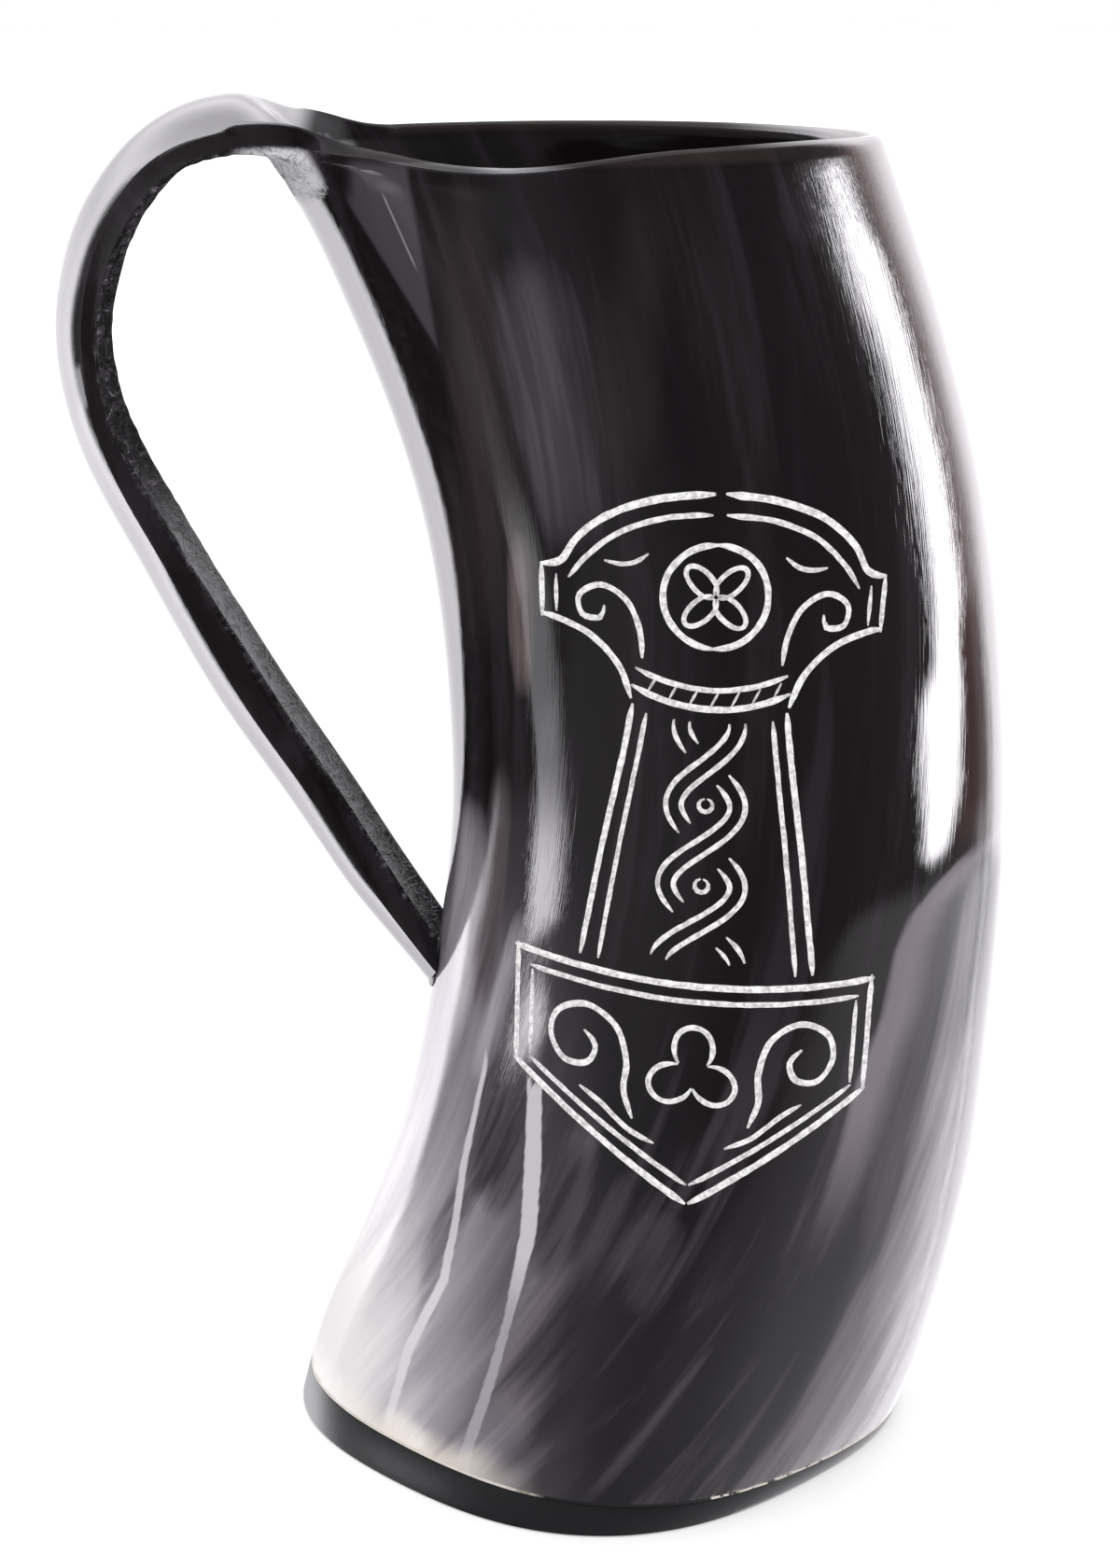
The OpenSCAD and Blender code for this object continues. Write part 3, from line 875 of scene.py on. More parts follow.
class Bench:
    """The node tree of one finish."""

    def __init__(self, owner):
        owner.use_nodes = True
        self.tree = owner.node_tree
        self.tree.nodes.clear()

    def node(self, kind, settings=None, values=(), out=0):
        """Any node: its type, its settings, and the values or links of its sockets."""
        made = self.tree.nodes.new(kind)
        for key, value in (settings or {}).items():
            if key == "stops":
                ramp = made.color_ramp
                while len(ramp.elements) < len(value):
                    ramp.elements.new(0.5)
                for element, (at, shade) in zip(ramp.elements, sorted(value)):
                    element.position = at
                    element.color = shade if hasattr(shade, "__len__") else (shade,) * 3 + (1,)
            else:
                setattr(made, key, value)
        pairs = values.items() if isinstance(values, dict) else enumerate(values)
        for key, value in pairs:
            if isinstance(value, Wire):
                self.tree.links.new(value.socket, made.inputs[key])
            elif value is not None:
                made.inputs[key].default_value = value
        return Wire(self, made.outputs[out]) if made.outputs else None

    def place(self):
        """Place on the piece, in millimetres, as three wires."""
        spot = self.node("ShaderNodeTexCoord", out="Object")
        return [part * 1000 for part in self.parts(spot)]

    def parts(self, vector):
        """A vector's three parts, as wires."""
        made = self.node("ShaderNodeSeparateXYZ", values=(vector,))
        return [Wire(self, made.socket.node.outputs[i]) for i in range(3)]

    def vector(self, x, y, z):
        return self.node("ShaderNodeCombineXYZ", values=(x, y, z))

    def noise(self, vector, scale=1.0, detail=3.0, rough=0.5, warp=0.0):
        return self.node("ShaderNodeTexNoise", {"noise_dimensions": "3D"},
                         {"Vector": vector, "Scale": scale, "Detail": detail,
                          "Roughness": rough, "Distortion": warp})

    def rise(self, value, start, end):
        """0 before start, 1 after end, eased between; start may lie above end."""
        return self.node("ShaderNodeMapRange", {"interpolation_type": "SMOOTHSTEP"},
                         (value, start, end, 0.0, 1.0))

    def mix(self, share, first, second):
        return self.node("ShaderNodeMix", {"data_type": "RGBA"}, {0: share, 6: first, 7: second},
                         out=2)

    def bump(self, height, distance, strength=1.0, normal=None):
        return self.node("ShaderNodeBump", values={"Strength": strength, "Distance": distance,
                                                   "Height": height, "Normal": normal})


def rgb(red, green, blue):
    """A colour as seen on a screen, 0 to 255, as the shader wants it."""
    return tuple((c / 255 / 12.92) if c / 255 <= 0.04045 else ((c / 255 + 0.055) / 1.055) ** 2.4
                 for c in (red, green, blue)) + (1.0,)


def close_finish(bench, colour, roughness, normal=None, ior=1.5, glow=0.0, matt=None):
    """Closes a finish; matt is the share of it that has no polish left."""
    shader = bench.node("ShaderNodeBsdfPrincipled", values={
        "Base Color": colour, "Roughness": roughness, "IOR": ior, "Normal": normal,
        "Emission Color": (1, 1, 1, 1), "Emission Strength": glow})
    if matt is not None:
        dull = bench.node("ShaderNodeBsdfPrincipled", values={
            "Base Color": colour, "Roughness": 0.7, "Specular IOR Level": 0.0, "Normal": normal})
        shader = bench.node("ShaderNodeMixShader", values=(matt, shader, dull))
    bench.node("ShaderNodeOutputMaterial", values={"Surface": shader})


# Streaks of paler and darker horn on the front: both ends (across, up) and half width in
# millimetres, then colour and strength
STREAKS = [
    ((-14.6, 12), (-1.3, 57), 2.6, (112, 105, 112), 0.6),
    ((-12.5, 11), (-3.5, 37), 2.3, (108, 100, 106), 0.5),
    ((-5, 30), (3.5, 50), 1.8, (82, 77, 82), 0.45),
    ((-18, 62), (-12.5, 98), 2.2, (112, 104, 108), 0.5),
    ((38, 6), (51, 66), 4.2, (152, 147, 153), 0.6),
    ((24.5, 6), (36, 33), 2.0, (112, 102, 110), 0.5),
    ((34, 34), (43.5, 84), 2.6, (64, 59, 65), 0.6),
    ((42.5, 46), (48.5, 84), 1.8, (142, 136, 142), 0.5),
    ((35, 18), (45, 60), 2.2, (126, 120, 127), 0.5),
    ((45, 24), (52, 72), 1.6, (92, 86, 93), 0.6),
    ((-4, 128), (-9.5, 164), 5.6, (96, 92, 99), 0.42),
    ((-10, 108), (-10.8, 130), 1.3, (138, 122, 124), 0.4),
    ((-14.5, 112), (-17, 173), 4.2, (54, 45, 47), 0.6),
    ((1, 136), (4, 171), 4.0, (44, 38, 39), 0.4),
    ((23, 164), (27.5, 177), 4.0, (62, 58, 63), 0.22),
    ((-12.5, 54), (-23.5, 26), 2.1, (52, 47, 53), 0.75),
    ((-15.6, 39), (-9.8, 62), 3.3, (36, 33, 37), 1.2),
    ((-8.8, 33), (-2.8, 53), 2.6, (40, 36, 40), 1.0),
    ((3, 31), (9, 45), 2.6, (72, 67, 72), 0.5),
    ((-24.6, 21), (-20.6, 37), 1.5, (108, 102, 111), 0.6),
    ((-9, 12), (1, 38), 4.6, (30, 27, 30), 0.85),
    ((33, 9), (42, 40), 1.5, (62, 56, 60), 0.5),
    ((-18.8, 62), (-16.8, 92), 1.7, (168, 163, 169), 0.6),
    ((-15.9, 64), (-12.8, 92), 1.4, (60, 51, 54), 0.9),
    ((-16.8, 55), (-9.6, 80), 1.3, (150, 147, 154), 0.75),
]
# Where the paler far side begins: height and place across
FAR_EDGE = [(25, 21.5), (36, 25), (46.5, 28.5), (60.3, 32.1), (68.6, 35.1), (76.5, 36.5),
            (81, 38.6), (84, 42), (87, 47)]
# Two painted glints that run down to the seam: thin pale lines that stand in for reflections
# of a narrow light. Colour low down, then height, place across and half width
PAINTED_GLINTS = [
    [(150, 147, 154),
     (7, -18.2, 0.75), (10, -17.2, 0.7), (18.8, -14.4, 0.62), (27.1, -12.1, 0.55),
     (32.8, -10.8, 0.75), (38.8, -9.5, 1.0), (48.4, -8.9, 1.05), (58.1, -8.7, 0.9)],
    [(200, 197, 201),
     (6, -29.0, 0.4), (8.4, -28.4, 0.45), (17.9, -25.7, 0.6), (28.5, -20.8, 0.55),
     (36, -19.3, 0.45), (44, -18.1, 0.42), (59.4, -14.9, 0.2)],
]
GLINT_TOP = 64.0          # height that a glint's place and width are given over


# Colours as seen on a screen: the horn's, then the lines' filling, plate, seam and glue
DEEP_HORN, DARK_HORN, LOW_HORN = rgb(9, 8, 10), rgb(24, 20, 22), rgb(33, 31, 36)
GREY_HORN, FAR_HORN, BAND_HORN = rgb(82, 76, 83), rgb(146, 141, 148), rgb(116, 109, 116)
BROWN_HORN, LIP_HORN = rgb(75, 55, 56), rgb(54, 46, 45)
# the grey of a painted sheen under the lip beside the handle, and the pale of a painted glint line
# in it: both painted reflections
PAINTED_SHEEN_GREY, PAINTED_GLINT_GREY = rgb(62, 59, 65), rgb(140, 136, 143)
# the last, whiter cream is a painted highlight at the handle-side end of the seam edge
CREAM_LOW, CREAM_HIGH, CREAM_HIGHLIGHT_END = rgb(194, 185, 176), rgb(217, 209, 200), rgb(226, 222, 222)
# pale colour of the painted glints high up: a painted reflection
GLINT_PALE_HIGH = rgb(186, 183, 189)
SAWN_DARK, SAWN_GREY, SAWN_PALE = rgb(20, 19, 21), rgb(70, 66, 70), rgb(150, 146, 152)
CRACK = rgb(8, 7, 8)
RAW_GREY, RAW_PALE = rgb(146, 143, 148), rgb(206, 204, 209)
CHALK_DULL, CHALK_BRIGHT = rgb(190, 187, 189), rgb(240, 238, 239)
PLATE_DARK, PLATE_PALE = rgb(15, 14, 17), rgb(25, 24, 28)
SEAM_DARK, SEAM_DULL, SEAM_PALE = rgb(26, 24, 26), rgb(186, 178, 169), rgb(216, 209, 200)
GLUE_DARK, GLUE_PALE = rgb(18, 15, 15), rgb(40, 34, 32)
# The pale horn of the foot, from the handle side inwards; the palest stop, at the handle-side edge,
# is lightened a little further as a painted highlight
PALE_STOPS = [(0.0, rgb(212, 208, 209)), (0.12, rgb(194, 189, 193)), (0.31, rgb(144, 139, 147)),
              (0.54, rgb(100, 95, 103)), (0.73, rgb(52, 49, 54)), (0.95, rgb(32, 30, 34))]
# Half sizes of the horn's section in millimetres, for the flow of its grain
HALF_ACROSS, HALF_THROUGH = 40.0, 38.0
# Where the lip's own look begins at the strap's root and fades out on the far side
LIP_ROOT, LIP_FAR = (-39.8, -36.8), (30.0, 14.0)
# The raw patch under the strap's root: centre and half size, across and up
PATCH_AT, PATCH_HALF = (-39.5, 171.6), (7.0, 3.6)


class HornBench(Bench):
    """The horn's node tree, with the wires that several of its features share."""

    def __init__(self, owner):
        super().__init__(owner)
        self.x, self.y, self.z = x, y, z = self.place()
        # round and along the horn: across its section as it bows and twists on its way up
        t = z / (CUP_HEIGHT / MM)
        bowed = (4.0 * t * (1.0 - t) + BOW_SHARES[-1] * t**5.0) * (BOW / MM)
        self.across, through = (x - bowed) / HALF_ACROSS, y / HALF_THROUGH
        low = (1.0 - z / 70.0).math("MAXIMUM", 0.0)
        twist = z * 0.0042 - low * low * 0.35
        c, s = twist.math("COSINE"), twist.math("SINE")
        u, v = self.across * c + through * s, through * c - self.across * s
        self.u, self.v = u, v
        self.on_strap = self.attribute("on_strap")
        self.gap_side = self.attribute("gap_side")
        self.body = self.rise(self.on_strap, 0.06, 0.0)
        self.front = self.rise(y, 2.0, -9.0) * self.body
        # streaks run the length of the horn, from broad ones down to hairs
        self.broad = self.noise(self.vector(u * 3.4, v * 3.4, z * 0.016), 1.0, 3.0, 0.5, 0.25)
        self.streak = self.noise(self.vector(u * 9.0, v * 9.0, z * 0.018), 1.0, 4.0, 0.55, 0.3)
        self.mid = self.noise(self.vector(u * 22.0, v * 22.0, z * 0.03), 1.0, 3.0, 0.6, 0.2)
        self.fine = self.noise(self.vector(u * 60.0, v * 60.0, z * 0.05), 1.0, 3.0, 0.6)
        self.hair = self.noise(self.vector(u * 230.0, v * 230.0, z * 0.09), 1.0, 2.0, 0.5)
        self.fibre = self.noise(self.vector(x * 0.5, y * 0.2, z * 0.5), 1.0, 5.0, 0.7, 1.2)
        seams = self.noise(self.vector(x * 0.34, y * 0.16, z * 0.34), 1.0, 3.0, 0.6, 1.5)
        self.cracks = (seams - 0.5).math("ABSOLUTE")
        # the rough side of the strap, and the raw patch below its root
        patch_x, patch_z = (x - PATCH_AT[0]) / PATCH_HALF[0], (z - PATCH_AT[1]) / PATCH_HALF[1]
        self.patch = self.rise(
            patch_x * patch_x + patch_z * patch_z + (self.fibre - 0.5) * 1.6, 1.15, 0.55) \
            * self.rise(self.across, -0.79, -0.83) * self.rise(y, 16.0, 10.0) \
            * self.rise(z, 175.0, 174.4)
        self.sawn = self.gap_side * (
            0.5 + 0.5 * self.rise(z + (self.fibre - 0.5) * 20.0, 120.0, 134.0))

    def attribute(self, name):
        return self.node("ShaderNodeAttribute", {"attribute_name": name}, out="Fac")

    def curve_of(self, level, top, reach, pairs):
        """A value that follows pairs of height and value, up to the height top and size reach."""
        stops = [(height / top, value / reach) for height, value in pairs]
        return self.node("ShaderNodeValToRGB", {"stops": stops}, (level,)) * reach


def grained(b):
    """Dark horn in streaks, greyer low on the far side and brown high up on it."""
    right = b.rise(b.u + (b.broad - 0.5) * 0.5, 0.62, 1.0)
    low_right = b.rise(b.z + (b.broad - 0.5) * 60.0, 115.0, 40.0)
    band = b.rise(b.streak, 0.34, 0.60)
    dark = b.mix(b.broad, DEEP_HORN, DARK_HORN)
    dark = b.mix(b.rise(b.z, 62.0, 18.0) * 0.6, dark, LOW_HORN)
    streaked = b.rise(b.streak, 0.48, 0.70) * (0.12 + 0.42 * b.rise(b.z, 80.0, 30.0))
    colour = b.mix(streaked, dark, GREY_HORN)
    colour = b.mix(right * low_right * (0.25 + 0.45 * band), colour, FAR_HORN)
    brown = b.rise(b.across - b.rise(b.z, 100.0, 165.0) * 0.1, 0.64, 0.74) \
        * b.rise(b.z, 84.0, 92.0)
    return b.mix(brown * b.body * (0.5 + 0.35 * b.rise(b.z, 105.0, 125.0)), colour, BROWN_HORN)


def with_pale_foot(b, colour):
    """Pale horn low on the handle side, cloudy and fading into the dark."""
    fade = b.x + (b.streak - 0.5) * 15.0 + (b.mid - 0.5) * 3.0
    pale = b.node("ShaderNodeValToRGB", {"stops": PALE_STOPS}, ((fade + 34.0) / 36.0,))
    share = b.rise(b.z + (b.broad - 0.5) * 22.0, 94.0, 62.0) * b.rise(b.x, 3.0, -6.0) * b.body
    return b.mix(share, colour, pale)


def with_streaks(b, colour):
    """The single streaks of the front, each a long soft spot pulled out by the grain."""
    pull = (b.streak - 0.5) * 2.6 + (b.fine - 0.5) * 0.35
    grown = b.front * (0.7 + 0.45 * b.rise(b.mid, 0.40, 0.62))
    for (x0, z0), (x1, z1), half, shade, strength in STREAKS:
        long = math.hypot(x1 - x0, z1 - z0)
        c, q = (z1 - z0) / long, (x1 - x0) / long
        over, up = b.x - (x0 + x1) / 2, b.z - (z0 + z1) / 2
        along = (over * q + up * c) * (2 / long)
        side = (over * c - up * q) / half + pull
        along = along * along
        mask = b.rise(along * along * 1.2 + side * side, 1.5, -0.3)
        colour = b.mix(mask * grown * strength, colour, rgb(*shade))
    return colour


def with_far_band(b, colour):
    """The far side low down begins with a pale band of its own."""
    far_edge = b.curve_of(b.z / 100.0, 100, 50, FAR_EDGE)
    past = b.x - far_edge + (b.fine - 0.5) * 0.7 + (b.mid - 0.5) * 1.2
    share = b.rise(past, -0.5, 0.9) * b.rise(past, 7.5, 2.5) * b.rise(b.z, 34.0, 58.0) \
        * b.rise(b.z, 88.0, 85.0) * b.front * 0.85
    return b.mix(share, colour, BAND_HORN)


def with_painted_glints(b, colour):
    """The two painted glints: pale lines that stand in for reflections, in one colour high up and
    another low down.
    """
    for low_shade, *glint in PAINTED_GLINTS:
        level, top = b.z / GLINT_TOP, glint[-1][0]
        left = b.curve_of(level, GLINT_TOP, 32.0, [(h, -at) for h, at, _ in glint])
        half = b.curve_of(level, GLINT_TOP, 2.0, [(h, wide) for h, _, wide in glint])
        side = (b.x + left).math("ABSOLUTE") + (b.fine - 0.5) * 0.5
        mask = b.rise(side - half, 0.16, -0.12) \
            * b.rise(b.z + (b.fine - 0.5) * 4.0, top + 0.6, top - 0.6)
        shade = b.mix(b.rise(b.z, 36.0, 26.0), GLINT_PALE_HIGH, rgb(*low_shade))
        colour = b.mix(mask * b.front * 0.9, colour, shade)
    return colour


def with_painted_sheen_corner(b, colour):
    """A painted grey sheen in the corner under the lip beside the handle, with one pale painted
    glint line: both stand in for reflections.
    """
    sheen_corner = b.rise(b.x + 23.6 - (174.6 - b.z) * 0.149, 0.5, -0.4) \
        * b.rise(b.x + 33.5 - (172.5 - b.z) * 0.626, -0.2, 0.6) \
        * b.rise(b.z, 174.2, 172.8) * b.front
    colour = b.mix(sheen_corner * (0.75 + 0.2 * b.streak), colour, PAINTED_SHEEN_GREY)
    off_glint_line = (b.x + 25.15 + (b.z - 167.2) * 0.437).math("ABSOLUTE")
    glint_line = b.rise(off_glint_line, 0.22, 0.04) * sheen_corner * b.rise(b.z, 170.5, 169.0) \
        * b.rise(b.z, 160.5, 162.5) * 0.6
    return b.mix(glint_line, colour, PAINTED_GLINT_GREY)


def with_seam_edge(b, colour):
    """A cream edge just over the seam, broken into worn dashes on the far side, and whiter at its
    handle-side end as a painted highlight.
    """
    over_seam = b.z + b.x * CUT_RISE_HANDLE + b.y * CUT_RISE_FRONT - PLATE_THICKNESS / MM
    cream = b.rise(over_seam + (b.streak - 0.5) * 5.0, 4.8, 0.3) * b.rise(b.x, -7.0, -22.0) * 0.85
    worn = b.rise(over_seam + (b.fine - 0.5) * 0.6, 0.42, 0.12) \
        * b.rise(b.mid + (b.fine - 0.5) * 0.4, 0.46, 0.56)
    cream = cream.math("MAXIMUM", worn * b.rise(b.x, 11.0, 19.0) * 0.5)
    shade = b.mix(b.fine, CREAM_LOW, CREAM_HIGH)
    return b.mix(cream, colour, b.mix(b.rise(b.x, -27.0, -37.0), shade, CREAM_HIGHLIGHT_END))


def with_raw_horn(b, colour):
    """Thin brown horn at the lip, the strap's sawn side and the patch below its root."""
    lip = b.rise(b.z, 173.2, 174.4) * b.body * b.rise(b.x, *LIP_FAR)
    colour = b.mix(lip * 0.5, colour, LIP_HORN)
    rough = b.mix(b.rise(b.fibre, 0.42, 0.58), SAWN_DARK, SAWN_GREY)
    rough = b.mix(b.rise(b.fibre, 0.58, 0.66), rough, SAWN_PALE)
    rough = b.mix(b.rise(b.cracks, 0.03, 0.0) * 0.8, rough, CRACK)
    colour = b.mix(b.sawn * 0.92, colour, rough)
    raw = b.mix(b.rise(b.fibre, 0.34, 0.52), RAW_GREY, RAW_PALE)
    return b.mix(b.patch * 0.85, colour, raw)


def without_polish(b):
    """The share of polish that is gone: sawn side, lip's flat top, root, pale end at the foot."""
    lip_top = b.rise(b.z, 172.9, 173.9) * b.rise(b.x, *LIP_ROOT) * b.rise(b.x, *LIP_FAR)
    root = b.rise(b.z, 170.4, 172.0) * b.rise(b.x, -10.0, -17.0) * b.rise(b.y, -6.0, -12.0) \
        * b.rise(b.on_strap, 0.4, 0.2)
    foot_end = b.rise(b.z, 46.0, 12.0) * b.rise(b.x, -13.0, -30.0)
    return (b.sawn * 0.9).math("MAXIMUM", lip_top * 0.9).math("MAXIMUM", root * 0.7) \
        .math("MAXIMUM", foot_end * 0.85)


def worked_surface(b):
    """Slight waves from scraping, hairs, and the relief of the raw places."""
    wave = b.noise(b.vector(b.u * 2.6, b.v * 2.6, b.z * 0.035), 1.0, 1.0, 0.4)
    normal = b.bump(wave, 0.0022, 0.12)
    scratched = b.rise(b.z, 108.0, 138.0) * b.rise(b.x, 12.0, 25.0)
    normal = b.bump(b.hair * (1.0 + scratched * 1.6), 0.00003, 0.24, normal)
    relief = (b.fibre - b.rise(b.cracks, 0.05, 0.0) * b.sawn) * b.sawn.math("MAXIMUM", b.patch)
    return b.bump(relief, 0.0006, 0.7, normal)


def polished_horn():
    mat = bpy.data.materials.new("polished dark horn")
    b = HornBench(mat)
    colour = grained(b)
    for feature in (with_pale_foot, with_streaks, with_far_band, with_painted_glints,
                    with_painted_sheen_corner, with_seam_edge, with_raw_horn):
        colour = feature(b, colour)
    roughness = 0.04 + 0.12 * b.rise(b.hair, 0.55, 0.78) + b.patch * 0.42 + b.sawn * 0.5
    close_finish(b, colour, roughness, worked_surface(b), ior=1.52, matt=without_polish(b))
    return mat


def carved_white():
    mat = bpy.data.materials.new("carved lines, chalky white")
    b = Bench(mat)
    x, y, z = b.place()
    chip = b.noise(b.vector(x, y, z), 1.6, 4.0, 0.65)
    colour = b.mix(b.rise(chip, 0.36, 0.60), CHALK_DULL, CHALK_BRIGHT)
    close_finish(b, colour, 0.62 + 0.2 * chip, b.bump(chip, 0.0002, 0.6))
    return mat


def plate_finish():
    mat = bpy.data.materials.new("satin charcoal plate")
    b = Bench(mat)
    x, y, z = b.place()
    grain = b.noise(b.vector(x, y, z), 2.2, 3.0, 0.6)
    cloud = b.noise(b.vector(x, y, z * 2.0), 0.09, 2.0, 0.5)
    colour = b.mix(cloud, PLATE_DARK, PLATE_PALE)
    close_finish(b, colour, 0.3 + 0.12 * grain, b.bump(grain, 0.00005, 0.5))
    return mat


def seam_finish():
    mat = bpy.data.materials.new("pale seam")
    b = Bench(mat)
    x, y, z = b.place()
    bead = b.noise(b.vector(x, y, z), 0.5, 3.0, 0.6)
    side = b.rise(x + (bead - 0.5) * 12.0, -7.0, -14.0)
    far = b.rise(bead + (x - 20.0) * 0.008, 0.47, 0.53) * b.rise(x, 8.0, 15.0)
    shown = side.math("MAXIMUM", far)
    colour = b.mix(shown, SEAM_DARK, b.mix(bead, SEAM_DULL, SEAM_PALE))
    close_finish(b, colour, 0.45 + 0.2 * bead, b.bump(bead, 0.0003, 0.5))
    return mat


def glue_finish():
    mat = bpy.data.materials.new("dark glue")
    b = Bench(mat)
    x, y, z = b.place()
    lump = b.noise(b.vector(x, y, z), 0.8, 2.0, 0.5)
    colour = b.mix(lump, GLUE_DARK, GLUE_PALE)
    close_finish(b, colour, 0.2 + 0.2 * lump, b.bump(lump, 0.0002, 0.5))
    return mat


horn_finish, cut_finish = polished_horn(), carved_white()
horn.data.materials.append(horn_finish)
horn.data.materials.append(cut_finish)
carve(horn, cut_finish)
plate.data.materials.append(plate_finish())
seal.data.materials.append(seam_finish())
glue.data.materials.append(glue_finish())


# Camera, floor and light
CAMERA_PLACE = (-5.44 * MM, -369 * MM, 199.5 * MM)
CAMERA_TILT = 16.5         # degrees downward
CAMERA_LENS, CAMERA_SENSOR = 66.0, 36.0
FLOOR_RADIUS, FLOOR_GLOW = 6.0, 0.32
TO_DEGREES = 57.2958
SOFT_LIGHT, WHITE_LIGHT = 1.22, 1.0
COOL_TINT, NO_TINT = (0.985, 0.965, 1, 1), (1, 1, 1, 1)
# What the polish mirrors all round, as direction in degrees and strength: the room, and the
# table below its far edge
ROOM_LIGHT = [(-180, 1.3), (-160, 1.6), (-148, 2.1), (-134, 3.4), (-121.5, 5.8), (-119, 0.1),
              (-100, 0.35), (-40, 0.3), (0, 0.1), (70, 0.12), (113, 0.22), (117, 0.45),
              (119, 1.7), (129, 1.9), (132, 3.6), (150, 2.6), (165, 1.8), (180, 1.3)]
TABLE_LIGHT = [(-180, 1.3), (-160, 1.6), (-148, 2.1), (-134, 3.6), (-121.5, 6.4),
               (-118, 0.06), (-103, 0.08), (-60, 0.2), (0, 0.24), (30, 0.36), (62, 0.72),
               (85, 0.76), (95, 1.15), (108, 1.9), (120, 2.7), (150, 2.0), (180, 1.2)]
# Thin upright lines in it: direction, half width, half width of the core, strength
THIN_LINES = [(122.8, 1.5, 0.4, -1.2), (127.6, 1.6, 0.4, 1.6), (130.4, 1.3, 0.3, -1.2)]
# The soft box's two sides: direction at eye level, and how far they bend between two heights
BOX_LEFT = 96.5, [(8.5, 12.0, -1.8), (13.3, 15.2, 8.5), (-7.6, -10.6, -7.3),
                  (-12.0, -15.4, 1.8)]
BOX_RIGHT = 110.8, [(10.5, 13.2, -6.5), (-4.5, -8.5, -3.6), (-9.5, -12.0, -2.8),
                    (-12.0, -17.0, -6.5)]
BOX_STRENGTH, HAZE_STRENGTH, SECOND_WINDOW_STRENGTH = 19.0, 2.2, 2.6

scene = bpy.context.scene
camera_data = bpy.data.cameras.new("camera")
camera_data.lens, camera_data.sensor_width = CAMERA_LENS, CAMERA_SENSOR
camera = bpy.data.objects.new("camera", camera_data)
camera.location = CAMERA_PLACE
camera.rotation_euler = (math.radians(90 - CAMERA_TILT), 0, 0)
scene.collection.objects.link(camera)
scene.camera = camera
scene.view_settings.view_transform = "Standard"


def pale_floor():
    bpy.ops.object.select_all(action="DESELECT")
    bpy.ops.mesh.primitive_circle_add(vertices=96, radius=FLOOR_RADIUS, fill_type="NGON")
    floor = named("floor")
    mat = bpy.data.materials.new("pale floor")
    close_finish(Bench(mat), (0.9, 0.9, 0.9, 1), 0.9, glow=FLOOR_GLOW)
    floor.data.materials.append(mat)
    floor.visible_glossy = False


def mirrored_room(b, turn, up):
    """The room all round, the table below its far edge, and a few thin upright lines."""
    share = (turn + 180.0) / 360.0

    def all_round(pairs):
        top = max(strength for _, strength in pairs)
        stops = [((at + 180) / 360, strength / top) for at, strength in pairs]
        return b.node("ShaderNodeValToRGB", {"stops": stops}, (share,)) * top

    room, table = all_round(ROOM_LIGHT), all_round(TABLE_LIGHT)
    # the table's far edge shows a little higher where the horn turns away
    over_edge = up - b.rise(turn, 48.0, 64.0) * 2.0 - b.rise(turn, 80.0, 100.0) * 0.8 \
        - b.rise(turn, -60.0, -100.0) * 3.5
    seen = room + (table - room) * b.rise(over_edge, -19.6, -21.4)
    for at, half, core, strength in THIN_LINES:
        seen = seen + b.rise((turn - at).math("ABSOLUTE"), half, core) * strength
    dim = b.rise(turn, 106.0, 109.0) * b.rise(turn, 130.0, 122.0) * b.rise(up, -5.0, -8.0) \
        * b.rise(up, -16.5, -14.0)
    return seen * (1.0 - 0.68 * dim)


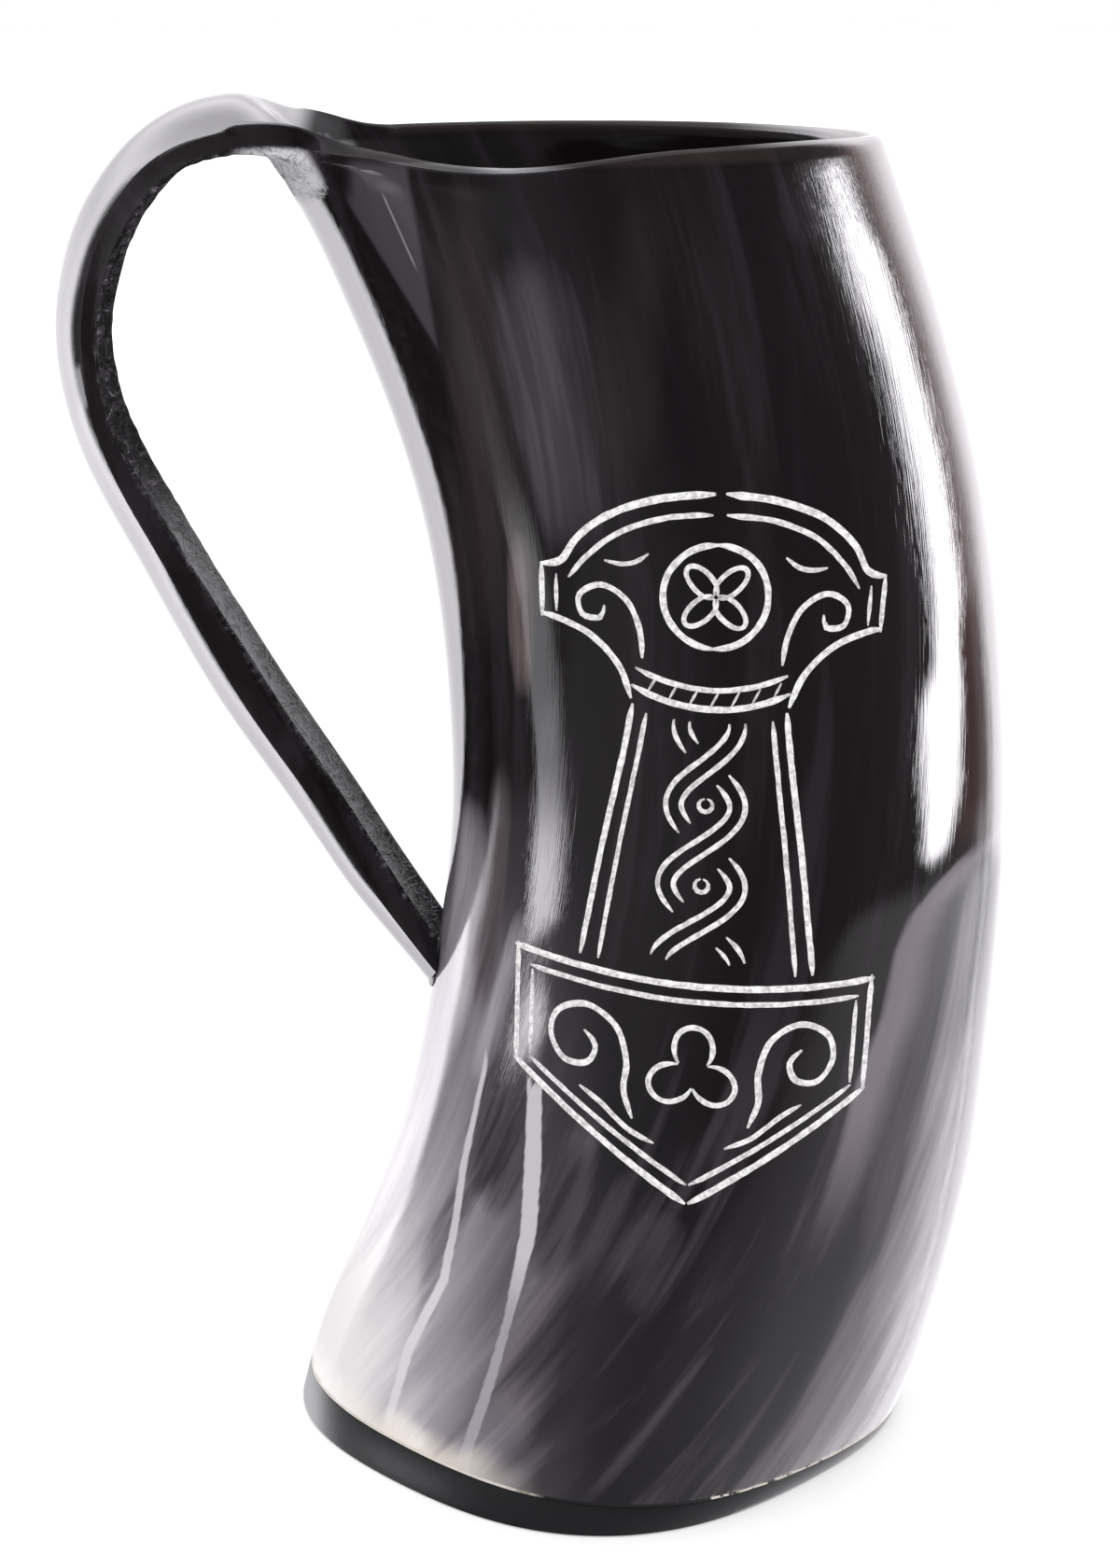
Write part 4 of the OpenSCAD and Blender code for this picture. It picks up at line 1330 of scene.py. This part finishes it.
def mirrored_box(b, turn, up):
    """A tall soft box, cut off slantwise at its foot, and the haze over it."""
    def side(start, bends):
        for low, high, shift in bends:
            start = start + b.rise(up, low, high) * shift
        return start

    left, right = side(*BOX_LEFT), side(*BOX_RIGHT)
    soft_edge = 1.5 + b.rise(up, 2.0, 14.0) * 3.0
    box = b.rise(turn - left, soft_edge * -0.5, soft_edge * 0.5) * b.rise(turn - right, 0.7, -0.7) \
        * b.rise(up - (turn - 88.0) * 0.1, -17.3, -16.6) * b.rise(up, 15.2, 13.9)
    haze = b.rise(turn, 84.0, 96.0) * b.rise(turn, 114.0, 110.0) * b.rise(up, 7.0, 13.0) \
        * b.rise(up, 17.0, 14.0)
    return box * BOX_STRENGTH + haze * HAZE_STRENGTH


def mirrored_windows(b, turn, up):
    """A narrow window on the handle side, a fainter one beside it, and light from above."""
    window = b.rise(turn, -90.0, -88.6) * b.rise(turn, -78.0, -80.5) \
        * b.rise(up, -12.15, -12.65)
    window = window * (b.rise(up, -19.4, -15.2) * 8.0 + b.rise(up, -29.0, -23.0) * 2.0)
    second = b.rise(turn, -119.5, -118.5) * b.rise(turn, -109.0, -113.0) \
        * b.rise(up, -19.5, -17.8) * b.rise(up, -12.0, -13.5)
    aside = turn.math("ABSOLUTE")
    above = b.rise(up, 44.0, 56.0) * b.rise(aside, 50.0, 95.0) * 0.8 \
        + b.rise(up, 12.0, 30.0) * b.rise(aside, 112.0, 130.0) * 1.6
    return window + second * SECOND_WINDOW_STRENGTH + above


def studio_light():
    """White all round for the matt parts; what the polish mirrors is laid out by direction."""
    world = bpy.data.worlds.new("studio")
    scene.world = world
    b = Bench(world)
    dx, dy, dz = b.parts(b.node("ShaderNodeTexCoord", out="Generated"))
    turn = dx.math("ARCTAN2", -dy) * TO_DEGREES
    up = dz.math("ARCSINE") * TO_DEGREES
    seen = mirrored_room(b, turn, up) + mirrored_box(b, turn, up) + mirrored_windows(b, turn, up)

    def background(strength, tint=NO_TINT):
        return b.node("ShaderNodeBackground", values={"Color": tint, "Strength": strength})

    glossy = b.node("ShaderNodeLightPath", out="Is Glossy Ray")
    looked = b.node("ShaderNodeLightPath", out="Is Camera Ray")
    light = b.node("ShaderNodeMixShader", values=(glossy, background(SOFT_LIGHT),
                                                  background(seen, COOL_TINT)))
    light = b.node("ShaderNodeMixShader", values=(looked, light, background(WHITE_LIGHT)))
    b.node("ShaderNodeOutputWorld", values={"Surface": light})


pale_floor()
studio_light()

for obj in (horn, plate, seal, glue):
    smooth(obj)
    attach(obj, "root")
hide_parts("horn_body", "handle")
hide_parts("base_plate")
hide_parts("base_seal")
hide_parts("tip_glue")
